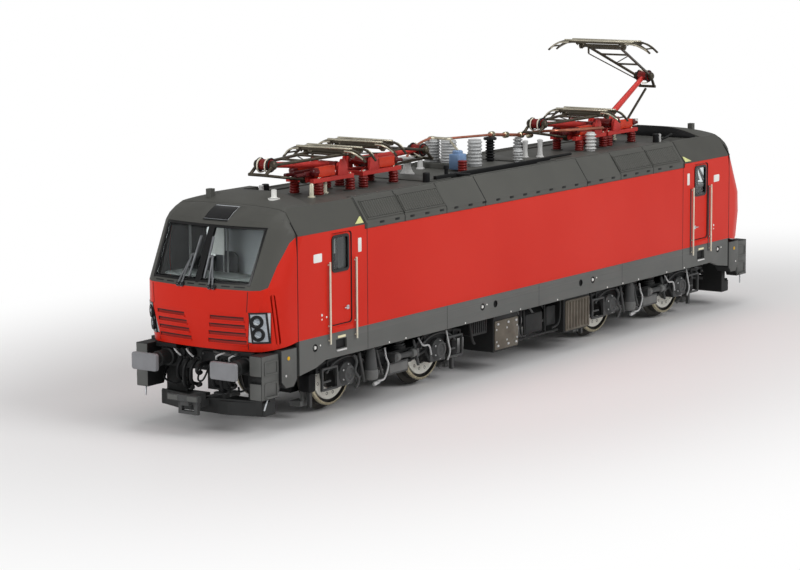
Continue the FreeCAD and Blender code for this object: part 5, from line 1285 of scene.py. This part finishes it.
@dataclass
class Wheelset:
    """One axle with two wheels: tyre, drilled white ring, hub and axle."""

    name: str
    centre_x: float
    radius: float = 7.2
    ring: tuple[float, float] = (3.5, 5.95)
    holes: int = 14

    def build(self) -> None:
        """Make the wheelset: every part but the holes is a profile carried round the axle."""
        at = (self.centre_x, 0.0, self.radius)
        body = f"{self.name}_axle"
        r = self.radius
        half = [(0.0, 1.25), (7.15, 1.25), (7.15, r + 0.8), (7.4, r + 1.1), (7.7, r + 0.95), (8.0, r + 0.05),
                (9.95, r - 0.08), (10.1, r - 0.25), (10.1, r - 0.6), (9.4, r - 0.75), (9.35, 2.6), (9.6, 2.3),
                (10.0, 2.2), (10.0, 0.3)]
        profile = [(-y, q) for y, q in reversed(half[1:])] + half[1:]
        emit(f"{self.name}_wheel_pair", turned_piece(profile, at, Axis.Y, 64), STEEL_DARK, body,
             (f"{self.name}_wheelset",))
        inner, outer = self.ring
        ring = turned_piece([(9.3, inner), (9.75, inner), (9.85, inner + 0.1), (9.85, outer - 0.1),
                             (9.75, outer),
                             (9.3, outer)], at, Axis.Y, 64, True)
        edge = turned_piece([(10.0, r - 0.62), (10.13, r - 0.58), (10.14, r - 0.3), (9.98, r - 0.04),
                             (9.5, r + 0.01),
                             (9.5, r - 0.62)], at, Axis.Y, 64, True)
        angle = np.linspace(0, 2 * math.pi, self.holes, endpoint=False)
        middle = (inner + outer) / 2
        spots = np.stack([middle * np.cos(angle), 0 * angle, middle * np.sin(angle)], axis=-1)
        hole = turned_piece([(9.7, 0.36), (9.87, 0.36), (9.87, 0.26), (9.8, 0.22), (9.8, 0.05)], at, Axis.Y,
                            10)
        emit(f"{self.name}_wheel_rings", both_sides(ring), RING_WHITE, body)
        emit(f"{self.name}_tyre_edges", both_sides(edge), BRASS_RIM, body)
        emit(f"{self.name}_ring_holes", both_sides(hole.repeated(spots)), DARK, body)


# ------------------------------------------------------------------------------ roof gear
@dataclass
class Pantograph:
    """One pantograph, drawn folded with its foot pivot at the origin and its knee towards +X."""

    name: str
    foot_x: float
    way: int
    turns: tuple[float, float]
    head_half: float
    foot_z: float = 49.3
    lower: float = 22.3
    upper: float = 22.5
    fold: tuple[float, float] = (5.5, 1.3)

    @staticmethod
    def polar(length: float, angle: float) -> Array:
        """A point at a length and an angle above +X: length times cosine and sine."""
        return np.array([length * math.cos(math.radians(angle)), 0.0, length * math.sin(math.radians(angle))])

    @property
    def knee(self) -> Array:
        """The folded knee."""
        return self.polar(self.lower, self.fold[0])

    @property
    def head(self) -> Array:
        """The folded head axis."""
        return self.knee + self.polar(self.upper, 180 - self.fold[1])

    def at_lift(self, shape: Shape, link: str) -> Shape:
        """A folded shape carried to where this pantograph stands, as part of one of its links."""
        knee_now = self.polar(self.lower, self.fold[0] + self.turns[0])
        reach = self.polar(self.upper, 180 - self.fold[1] - self.turns[1])
        if link == "lower":
            shape = shape.turned(Axis.Y, -self.turns[0])
        elif link == "upper":
            shape = shape.turned(Axis.Y, self.turns[1], self.knee).moved(*(knee_now - self.knee))
        elif link == "head":
            shape = shape.moved(*(knee_now + reach - self.head))
        if self.way < 0:
            shape = shape.turned(Axis.Z, 180.0)
        return shape.moved(self.foot_x, 0, self.foot_z)

    def put(self, name: str, shape: Shape, finish: Dress, link: str, replaces: Sequence[str] = ()) -> None:
        """Make a piece on one link, or on the roof for the link base."""
        body = ROOT if link == "base" else f"{self.name}_{link}"
        emit(f"{self.name}_{name}", self.at_lift(shape, link), finish, body, replaces)

    def build(self) -> None:
        """Make the pantograph's arms, head and drive."""
        refined(f"{self.name}_lower_arm", PANTO_RED, 0.05, body=f"{self.name}_lower")
        refined(f"{self.name}_upper_arm", ARM, 0.0, body=f"{self.name}_upper")
        refined(f"{self.name}_control_rod", ARM, 0.0, body=f"{self.name}_rod")
        self.drums()
        self.tubes()
        self.contact_head()
        self.drive()

    def drums(self) -> None:
        """The knee drum with its rims and curved springs, and the foot's bearing tube."""
        k = self.knee
        drum = turned_piece([(-1.63, 0.7), (-1.6, 1.16), (-1.35, 1.2), (-1.25, 1.17), (1.25, 1.17),
                             (1.35, 1.2),
                             (1.6, 1.16), (1.63, 0.7)], k, Axis.Y, 28)
        foot = turned_piece([(-2.34, 0.6), (-2.3, 0.98), (-1.9, 1.04), (-1.8, 0.98), (1.8, 0.98), (1.9, 1.04),
                             (2.3, 0.98), (2.34, 0.6)], (0, 0, 0), Axis.Y, 24)
        self.put("knee_drum", joined([drum, foot]), POST_RED, "lower")
        caps = [turned_piece([(s * 2.42, 0.9), (s * 2.5, 0.86), (s * 2.72, 0.6), (s * 2.78, 0.2)], k, Axis.Y,
                             18)
                for s in SIDES]
        loops, rims = [], []
        around = np.radians(np.linspace(0, 360, 25)[:-1])
        for side in SIDES:
            y = side * 1.0
            loops.append(wire((k + (0.3, y, 1.4), k + (1.4, y, 0.75), k + (1.6, y, -0.5), k + (0.9, y, -1.45),
                               k + (-0.9, y, -1.45), k + (-2.5, y * 0.7, -0.75)), 0.16, (0, 1, 0)))
            ring = np.stack([k[0] + 1.5 * np.cos(around), np.full(24, side * 1.42),
                             k[2] + 1.35 * np.sin(around)], axis=-1)
            rims.append(carried(ring, circle(0.18, 8), (0, 1, 0), loop=True))
        self.put("knee_caps", joined(caps), ARM, "upper")
        self.put("knee_rims", joined(rims), DARK, "lower")
        self.put("knee_cables", joined(loops), CREAM, "lower")

    def tubes(self) -> None:
        """The diagonal brace, the double cross tube of the head, and the levelling rod on its lever."""
        k, h = self.knee, self.head
        far = -float(self.way)

        def on_tube(share: float, side: float) -> Array:
            """A point on a tube, a share of the way from the knee to the head."""
            return k + (h - k) * share + np.array([0, side * (2.05 + 2.65 * share), 0])

        brace = bar(on_tube(0.42, 1), on_tube(0.70, -1), 0.15, 6)
        cross = [turned_piece([(-6.55, 0.42), (-6.5, 0.56), (-5.4, 0.58), (-5.3, 0.44), (5.3, 0.44),
                               (5.4, 0.58),
                               (6.5, 0.56), (6.55, 0.42)], h, Axis.Y, 18),
                 bar(h + (1.5, -4.5, -0.15), h + (1.5, 4.5, -0.15), 0.24, 8)]
        lever = h + np.array([1.0, far * 4.2, -1.8])
        guide = [bar(h + (0.2, far * 4.2, 0), lever, 0.26, 8),
                 bar(lever, k + (0.4, far * 1.95, -0.9), 0.16, 8)]
        self.put("arm_braces", joined([brace] + guide), ARM, "upper")
        self.put("head_tube", joined(cross), ARM, "upper")

    def contact_head(self) -> None:
        """Two pale strips on dark carriers with bent horns, springs and end bars: a carrier's height
        is level to the horn and then falls with the square of the distance past it."""
        h = self.head
        carriers, strips, springs = [], [], []
        flat = 0.7 * self.head_half
        y = np.concatenate([np.linspace(-self.head_half, -flat, 9), np.linspace(0.4 - flat, flat - 0.4, 9),
                            np.linspace(flat, self.head_half, 9)])
        past = np.clip((np.abs(y) - flat) / (self.head_half - flat), 0, 1)
        width = np.where(past > 0, 0.26, 0.4)
        for x in (-1.9, 1.9):
            path = np.stack([np.full_like(y, x), y, 0.95 - 2.25 * past ** 1.7], axis=-1) + h
            carriers.append(carried(path, np.array([[-1, -0.7], [1, -0.7], [1, 0.7], [-1, 0.7]]),
                                    scale=width))
            strips.append(slab(rounded((h[0] + x - 0.42, 0.3 - flat), (h[0] + x + 0.42, flat - 0.3), 0.3, 3),
                               h[2] + 1.15,
                               h[2] + 1.55, Plane.TOP, 0.1))
            for s in SIDES:
                springs.append(bar(h + (x * 0.95, s * 6.15, 0.1), h + (x, s * 6.15, 0.9), 0.22, 8))
        for s in SIDES:
            for at, drop in ((flat - 0.2, 0.55), (flat + 0.65 * (self.head_half - flat), -0.3)):
                carriers.append(bar(h + (-1.9, s * at, drop), h + (1.9, s * at, drop), 0.2, 8))
            carriers.append(brick(h + (-2.3, s * 6.15 - 0.25, 0.35), h + (2.3, s * 6.15 + 0.25, 0.9), 0.1))
            eye = turned_piece([(s * 5.9, 0.5), (s * 5.9, 0.85), (s * 6.4, 0.85), (s * 6.4, 0.5)],
                               (h[0], 0, h[2]), Axis.Y, 20)
            carriers.append(eye)
            reach = self.head_half / 14.8
            horn = wire((h + (-2.9, s * 8.2 * reach, 0.9), h + (-2.9, s * 11.0 * reach, 0.7),
                         h + (-2.5, s * 13.0 * reach, -0.1), h + (-1.9, s * 14.2 * reach, -0.9)), 0.2)
            strips += [horn, horn.moved(-h[0]).mirrored(Axis.X).moved(h[0])]
        self.put("head_carriers", joined(carriers), ARM, "head", (f"{self.name}_contact_head",))
        self.put("head_strips", joined(strips), STRIP, "head")
        self.put("head_springs", joined(springs), STEEL, "head")

    def drive(self) -> None:
        """The lifting cylinder, spring boxes and cheek plates on the base frame."""
        cylinders = [turned_piece([(1.8, 0.3), (1.9, 0.6), (11.0, 0.6), (11.1, 0.42), (13.6, 0.4),
                                   (13.7, 0.2)],
                                  (0, s * 1.5, -1.0), Axis.X, 20) for s in SIDES]
        housings = [brick((2.3, s * 2.85 - 0.6, -1.75), (8.2, s * 2.85 + 0.6, 0.45), 0.2) for s in SIDES]
        ends = [turned_piece([(8.1, 0.4), (8.2, 0.85), (9.4, 0.85), (9.6, 0.6), (9.7, 0.2)],
                             (0, s * 2.85, -0.5),
                             Axis.X, 20) for s in SIDES]
        plates = [slab(np.array([[-1.9, -1.9], [1.7, -1.9], [1.4, 0.6], [0.7, 1.6], [-0.7, 1.6],
                                 [-1.4, 0.6]]),
                       s * 3.72 - 0.15, s * 3.72 + 0.15, Plane.SIDE, 0.06) for s in SIDES]
        ties = [bar((-4.0, -3.2, -1.75), (6.9, 3.2, -1.75), 0.16),
                bar((-4.0, 3.2, -1.75), (6.9, -3.2, -1.75), 0.16)]
        bolts = [stud((x, y, -1.95), 0.3, 0.32, Axis.Z) for x in (-3.4, 8.0) for y in (-3.2, 3.2)]
        self.put("lift_cylinders", joined(cylinders + ends), DARK_RED, "base")
        self.put("spring_housings", joined(housings), SPRING_RED, "base")
        self.put("foot_cheeks", joined(plates + ties), PANTO_RED, "base")
        self.put("base_bolts", joined(bolts), STRIP, "base")


def ribbed(x: float, y: float, low: float, high: float, core: float, shed: float, ribs: int,
           steps: int = 24) -> Shape:
    """A ribbed insulator: along its height the radius swells from core to shed as a raised cosine
    once per rib, over a flat foot and under a flat cap."""
    level = np.linspace(0, 1, ribs * 8 + 1)
    radius = core + (shed - core) * (0.5 - 0.5 * np.cos(2 * math.pi * ribs * level)) ** 0.7
    rows = np.stack([low + 0.25 + (high - low - 0.5) * level, radius], axis=-1)
    ends = [(low, core * 0.9), (low + 0.06, core * 1.15), (low + 0.25, core * 1.15)]
    tops = [(high - 0.25, core * 1.05), (high - 0.06, core * 1.05), (high, core * 0.8)]
    return turned_piece(np.concatenate([ends, rows, tops]), (x, y, 0), Axis.Z, steps)


@dataclass
class RoofGear:
    """Insulators, the copper bus, switches, valves and horns on the roof."""

    deck: float = 43.7
    feet: tuple[tuple[float, int], ...] = ((58.1, 1), (46.4, -1), (-48.8, 1), (-58.1, -1))

    def build(self) -> None:
        """Make the roof's gear."""
        refined("pantograph_bases", PANTO_RED, 0.06)
        self.posts()
        self.switches()
        self.bus()
        self.small()

    def posts(self) -> None:
        """Ribbed red posts under the pantograph frames, with pale posts between them."""
        red = [ribbed(x + way * along, y, self.deck, 46.5, 0.95, 1.15, 4)
               for x, way in self.feet for along in (-3.4, 8.0) for y in (-3.2, 3.2)]
        emit("pantograph_posts", joined(red), POST_RED, ROOT, ("pantograph_insulators",))
        pegs = [turned_piece([(self.deck, 0.8), (43.95, 0.8), (44.0, 0.5), (46.4, 0.48), (46.7, 0.3)],
                             (x, y, 0),
                             Axis.Z, 14) for x, y in ((69.7, 4.0), (61.7, 1.6), (-69.7, -4.0), (-61.7, -1.6))]
        emit("pale_posts", joined(pegs), IVORY_METAL)
        pads = [turned_piece([(43.5, 1.5), (43.82, 1.5), (43.9, 1.35), (43.9, 0.6)], (x + way * along, y, 0),
                             Axis.Z, 20)
                for x, way in self.feet for along in (-3.4, 8.0) for y in (-3.2, 3.2)]
        emit("post_pads", joined(pads), DECK)

    def switches(self) -> None:
        """The pale funnel insulators, the switch blocks on their tray and the tall black post."""
        pale = [turned_piece([(self.deck, 1.7), (43.95, 1.7), (44.1, 1.4), (44.9, 1.0), (45.8, 0.8),
                              (46.5, 1.0),
                              (47.0, 2.1), (47.4, 2.3), (47.6, 2.0), (47.6, 0.5)], (22.4, -4.2, 0), Axis.Z,
                             28)]
        peg = turned_piece([(self.deck, 0.45), (45.6, 0.45), (45.7, 0.62), (46.5, 0.62), (46.6, 0.3)],
                           (24.0, 7.6, 0), Axis.Z, 14)
        grey = [ribbed(6.4, y, 44.9, 50.2, 1.65, 1.95, 7, 32) for y in (-8.2, -3.6)]
        grey.append(ribbed(0.5, -0.2, self.deck, 50.0, 1.45, 1.75, 7, 32))
        grey += [ribbed(-26.0, -5.2, self.deck, 48.0, 0.7, 1.2, 5),
                 ribbed(-12.6, 3.4, self.deck, 46.8, 0.8, 1.2, 4)]
        emit("funnel_insulators", joined(pale), PALE, ROOT, ("roof_insulators",))
        emit("switch_insulators", joined(grey), MID_GREY)
        refined("switch_tray", ROOF, 0.12)
        post = [ribbed(-10.2, -2.9, self.deck, 48.8, 0.75, 1.15, 7),
                turned_piece([(48.7, 0.6), (48.8, 1.5), (49.1, 1.6), (49.4, 1.5), (49.6, 0.6)],
                             (-10.2, -2.9, 0), Axis.Z, 20)]
        emit("breaker_post", joined(post + [peg]), DARK)
        blue = [slab(rounded((8.8, 0.2), (12.2, 3.2), 0.5, 4), 44.0, 47.6, Plane.TOP, 0.3),
                turned_piece([(47.5, 1.2), (48.2, 1.2), (48.4, 0.9), (48.4, 0.3)], (10.5, 1.7, 0), Axis.Z,
                             20)]
        emit("blue_transformer", joined(blue), BLUE)
        drum = [(self.deck + 0.3 * k, 0.95 if k % 2 else 1.15) for k in range(10)]
        emit("red_ribbed_drum", turned_piece(drum, (12.6, 4.4, 0), Axis.Z, 24), POST_RED)
        bars = [bar((6.4, -8.2, 50.4), (6.4, -3.6, 50.4), 0.35),
                bar((6.4, -3.6, 50.4), (10.5, 1.7, 48.4), 0.28)]
        caps = [turned_piece([(50.1, 1.0), (50.4, 1.1), (50.7, 0.8), (50.8, 0.3)], (6.4, y, 0), Axis.Z, 16)
                for y in (-8.2, -3.6)]
        emit("switch_blades", joined(bars + caps), STRIP)

    def bus(self) -> None:
        """The copper roof bar, its branches, clamps and pale carriers."""
        refined("roof_busbar", COPPER, 0.0)
        runs = [wire(((22.4, -4.2, 47.8), (18.0, -6.0, 48.6), (12.0, -7.6, 49.8), (6.4, -8.2, 50.5)), 0.3),
                bar((6.4, -3.6, 50.5), (-10.2, -2.9, 50.0), 0.3),
                wire(((-27.4, -5.2, 48.4), (-28.6, -2.0, 49.2), (-30.0, 2.6, 49.6), (-34.0, 3.4, 49.4)),
                     0.34),
                bar((-34.0, 3.4, 49.4), (-50.0, 4.5, 48.8), 0.38)]
        emit("bus_branches", joined(runs), COPPER)
        clamps = [turned_piece([(x - 0.7, 0.45), (x - 0.6, 0.75), (x + 0.6, 0.75), (x + 0.7, 0.45)],
                               (0, y, z), Axis.X, 14)
                  for x, y, z in ((-14.4, -5.2, 49.6), (-20.6, -5.2, 49.0), (-27.4, -5.2, 48.4),
                                  (-31.2, -5.1, 48.1))]
        emit("bus_clamps", joined(clamps), BRASS_RIM)
        white = [turned_piece([(self.deck, 1.0), (43.9, 1.0), (44.1, 0.7), (45.6, 0.55), (47.2, 0.6),
                               (47.8, 0.75),
                               (48.0, 0.4)], (x, y, 0), Axis.Z, 18)
                 for x, y in ((-20.7, 0.3), (-24.5, 2.1), (12.2, -7.6))]
        white.append(ribbed(-42.6, 5.4, self.deck, 48.4, 0.95, 1.4, 5))
        emit("bus_carriers", joined(white), PALE)

    def small(self) -> None:
        """Roof boxes, posts, horns, hoses and the long ledge by the switchgear."""
        refined("roof_fittings", ROOF, 0.12)
        post = turned_piece([(44.6, 1.26), (45.75, 1.26), (45.85, 0.62), (46.1, 0.56), (47.45, 0.56),
                             (47.55, 0.2)],
                            (87.9, 8.0, 0), Axis.Z, 18)
        emit("roof_aerials", joined([post, post.turned(Axis.Z, 180.0)]), WHITE)
        ledge = [slab(np.array([[-18.0, 8.2], [30.0, 8.2], [30.0, 9.0], [-18.0, 9.0]]), 43.6, 44.7, Plane.TOP,
                      0.1),
                 bar((22.8, 7.8, 44.5), (19.5, 11.2, 44.2), 0.3),
                 bar((-18.6, 7.6, 44.3), (-30.0, 7.4, 44.3), 0.35)]
        emit("deck_ledge", joined(ledge), DARK)
        drums = [turned_piece([(self.deck, 0.55), (45.6, 0.55), (45.7, 0.45), (45.7, 0.2)], (x, y, 0), Axis.Z,
                              20)
                 for x, y in ((-71.2, 8.3), (71.2, -8.3))]
        dark = [turned_piece([(self.deck, 0.8), (45.7, 0.8), (45.85, 0.65), (45.85, 0.3)], (x, y, 0), Axis.Z,
                             18)
                for x, y in ((-69.7, 8.3), (69.7, -8.3), (33.4, 8.6), (-33.4, -8.6))]
        hoses = [wire(((-72.6, 8.4, 44.2), (-74.4, 9.4, 45.0), (-76.4, 9.0, 45.2), (-78.0, 7.8, 44.6)), 0.3)]
        hoses += [hoses[0].turned(Axis.Z, 180.0)]
        emit("valve_drums", joined(drums), PALE)
        emit("valve_hoses", joined(dark + hoses), DARK)


# ------------------------------------------------------------------------------ studio
@dataclass
class Studio:
    """A pale floor, soft lights and the camera, in millimetres over the floor."""

    eye: tuple[float, float, float] = (526.63, 346.72, 113.81)
    yaw: float = 215.003
    pitch: float = 8.752
    roll: float = -0.365
    lens: float = 122.05
    floor: tuple[int, int, int] = (232, 231, 231)
    white_from: float = 0.06
    white_to: float = 0.15
    sensor: float = 36.0
    sky_light: float = 0.37
    aim_height: float = 25.0
    lights: tuple[tuple[str, tuple[float, float, float], float, float], ...] = (
        ("key", (-60, 560, 400), 420, 2.2), ("nose_fill", (620, -60, 260), 320, 1.45),
        ("top", (-60, 60, 620), 520, 1.1))

    def build(self) -> None:
        """Set the stage."""
        self.ground()
        self.world()
        self.lamps()
        self.camera()
        bpy.context.scene.view_settings.view_transform = "Standard"

    def ground(self) -> None:
        """A wide floor: a flat grid just under the wheels, white to the camera away from shadow."""
        span = np.linspace(-4.0, 4.0, 9)
        x, y = np.meshgrid(span, span, indexing="ij")
        grid = np.stack([x, y, np.full_like(x, -0.0002)], axis=-1)
        shape = grid_shape(grid, around=False, caps=False)
        mesh = bpy.data.meshes.new("studio_floor")
        mesh.from_pydata(shape.points, [], [f for patch in shape.patches for f in patch[:, ::-1].tolist()])
        floor = bpy.data.objects.new("studio_floor", mesh)
        bpy.context.scene.collection.objects.link(floor)
        material = bpy.data.materials.new("pale_floor")
        material.use_nodes = True
        tree = material.node_tree
        shader = tree.nodes["Principled BSDF"]
        shader.inputs["Base Color"].default_value = linear(self.floor)
        shader.inputs["Roughness"].default_value = 0.5
        shader.inputs["Specular IOR Level"].default_value = 0.1
        white = tree.nodes.new("ShaderNodeEmission")
        mix = tree.nodes.new("ShaderNodeMixShader")
        path = tree.nodes.new("ShaderNodeLightPath")
        place = tree.nodes.new("ShaderNodeTexCoord")
        squeeze = tree.nodes.new("ShaderNodeMapping")
        squeeze.inputs["Scale"].default_value = (0.55, 1.0, 1.0)
        far = tree.nodes.new("ShaderNodeVectorMath")
        far.operation = "LENGTH"
        tree.links.new(place.outputs["Object"], squeeze.inputs["Vector"])
        tree.links.new(squeeze.outputs["Vector"], far.inputs[0])
        share = Finish.remapped(tree, far.outputs["Value"], self.white_from, self.white_to, 0.0, 1.0)
        share.node.interpolation_type = "SMOOTHSTEP"
        seen = self.any_of(tree,
                           [path.outputs[f"Is {kind} Ray"] for kind in ("Camera", "Glossy", "Transmission")])
        both = tree.nodes.new("ShaderNodeMath")
        both.operation = "MULTIPLY"
        tree.links.new(share, both.inputs[0])
        tree.links.new(seen, both.inputs[1])
        tree.links.new(both.outputs["Value"], mix.inputs["Fac"])
        tree.links.new(shader.outputs["BSDF"], mix.inputs[1])
        tree.links.new(white.outputs["Emission"], mix.inputs[2])
        tree.links.new(mix.outputs["Shader"], tree.nodes["Material Output"].inputs["Surface"])
        mesh.materials.append(material)

    @staticmethod
    def any_of(tree: bpy.types.NodeTree, rays: Sequence[bpy.types.NodeSocket]) -> bpy.types.NodeSocket:
        """One for a ray of any of these kinds, by the largest of their values."""
        latest = rays[0]
        for ray in rays[1:]:
            most = tree.nodes.new("ShaderNodeMath")
            most.operation = "MAXIMUM"
            tree.links.new(latest, most.inputs[0])
            tree.links.new(ray, most.inputs[1])
            latest = most.outputs["Value"]
        return latest

    def world(self) -> None:
        """Even light for the object, and plain white for the camera."""
        world = bpy.data.worlds.new("studio_sky")
        world.use_nodes = True
        bpy.context.scene.world = world
        tree = world.node_tree
        tree.nodes.clear()
        out = tree.nodes.new("ShaderNodeOutputWorld")
        mix = tree.nodes.new("ShaderNodeMixShader")
        light = tree.nodes.new("ShaderNodeBackground")
        white = tree.nodes.new("ShaderNodeBackground")
        path = tree.nodes.new("ShaderNodeLightPath")
        light.inputs["Color"].default_value = (1, 1, 1, 1)
        light.inputs["Strength"].default_value = self.sky_light
        white.inputs["Color"].default_value = (1, 1, 1, 1)
        white.inputs["Strength"].default_value = 1.0
        seen = self.any_of(tree, [path.outputs["Is Camera Ray"], path.outputs["Is Transmission Ray"]])
        tree.links.new(seen, mix.inputs["Fac"])
        tree.links.new(light.outputs["Background"], mix.inputs[1])
        tree.links.new(white.outputs["Background"], mix.inputs[2])
        tree.links.new(mix.outputs["Shader"], out.inputs["Surface"])

    def lamps(self) -> None:
        """Large soft lamps: a key over the near side, a fill at the nose and a top light."""
        for name, spot, size, power in self.lights:
            lamp = bpy.data.lights.new(name, "AREA")
            lamp.shape = "DISK"
            lamp.size = size * MM
            lamp.energy = power
            holder = bpy.data.objects.new(name, lamp)
            holder.location = [c * MM for c in spot]
            aim = -np.asarray(spot, float) + np.array([0, 0, self.aim_height])
            holder.rotation_mode = "XYZ"
            holder.rotation_euler = (math.acos(-aim[2] / np.linalg.norm(aim)), 0.0,
                                     math.atan2(aim[1], aim[0]) - math.pi / 2)
            bpy.context.scene.collection.objects.link(holder)

    def camera(self) -> None:
        """The camera, from its place, its yaw and pitch, and its roll."""
        data = bpy.data.cameras.new("camera")
        data.sensor_width = self.sensor
        data.lens = self.lens
        data.clip_start, data.clip_end = 0.01, 30.0
        camera = bpy.data.objects.new("camera", data)
        camera.location = [c * MM for c in self.eye]
        turn = (self.matrix("Z", self.yaw - 90.0) @ self.matrix("X", 90.0 - self.pitch)
                @ self.matrix("Z", self.roll))
        camera.rotation_mode = "QUATERNION"
        camera.rotation_quaternion = turn.to_quaternion()
        bpy.context.scene.collection.objects.link(camera)
        bpy.context.scene.camera = camera

    @staticmethod
    def matrix(axis: str, degrees: float) -> Matrix:
        """A rotation about one axis."""
        return Matrix.Rotation(math.radians(degrees), 4, axis)


# Name and X of each axle.
AXLE_PLACES = (("front_outer", 71.85), ("front_inner", 37.35), ("rear_inner", -37.35), ("rear_outer", -71.85))
# Name, X of the foot, the way that its arm points, how far its two arms are turned, half head width.
PANTOGRAPH_PLACES = (("front_outer", 58.1, 1, (0.0, 0.0), 11.0), ("front_inner", 46.4, -1, (-4.5, 5.7), 11.0),
                     ("rear_inner", -48.8, 1, (0.0, 0.0), 11.0),
                     ("rear_outer", -58.1, -1, (22.0, 21.78), 14.6))


def main() -> None:
    """Build the sub-assemblies in order."""
    logging.basicConfig(level=logging.INFO, format="%(name)s: %(message)s")
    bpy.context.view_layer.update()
    Superstructure().build()
    RoofCover().build()
    LowerBand().build()
    Underfloor().build()
    for end in ("front", "rear"):
        CabEnd(end, f"{end}_draw_loop").build()
        Bogie(end).build()
    for name, x in AXLE_PLACES:
        Wheelset(name, x).build()
    for name, x, way, turns, half in PANTOGRAPH_PLACES:
        Pantograph(name, x, way, turns, half).build()
    RoofGear().build()
    Studio().build()


if __name__ == "__main__":
    main()
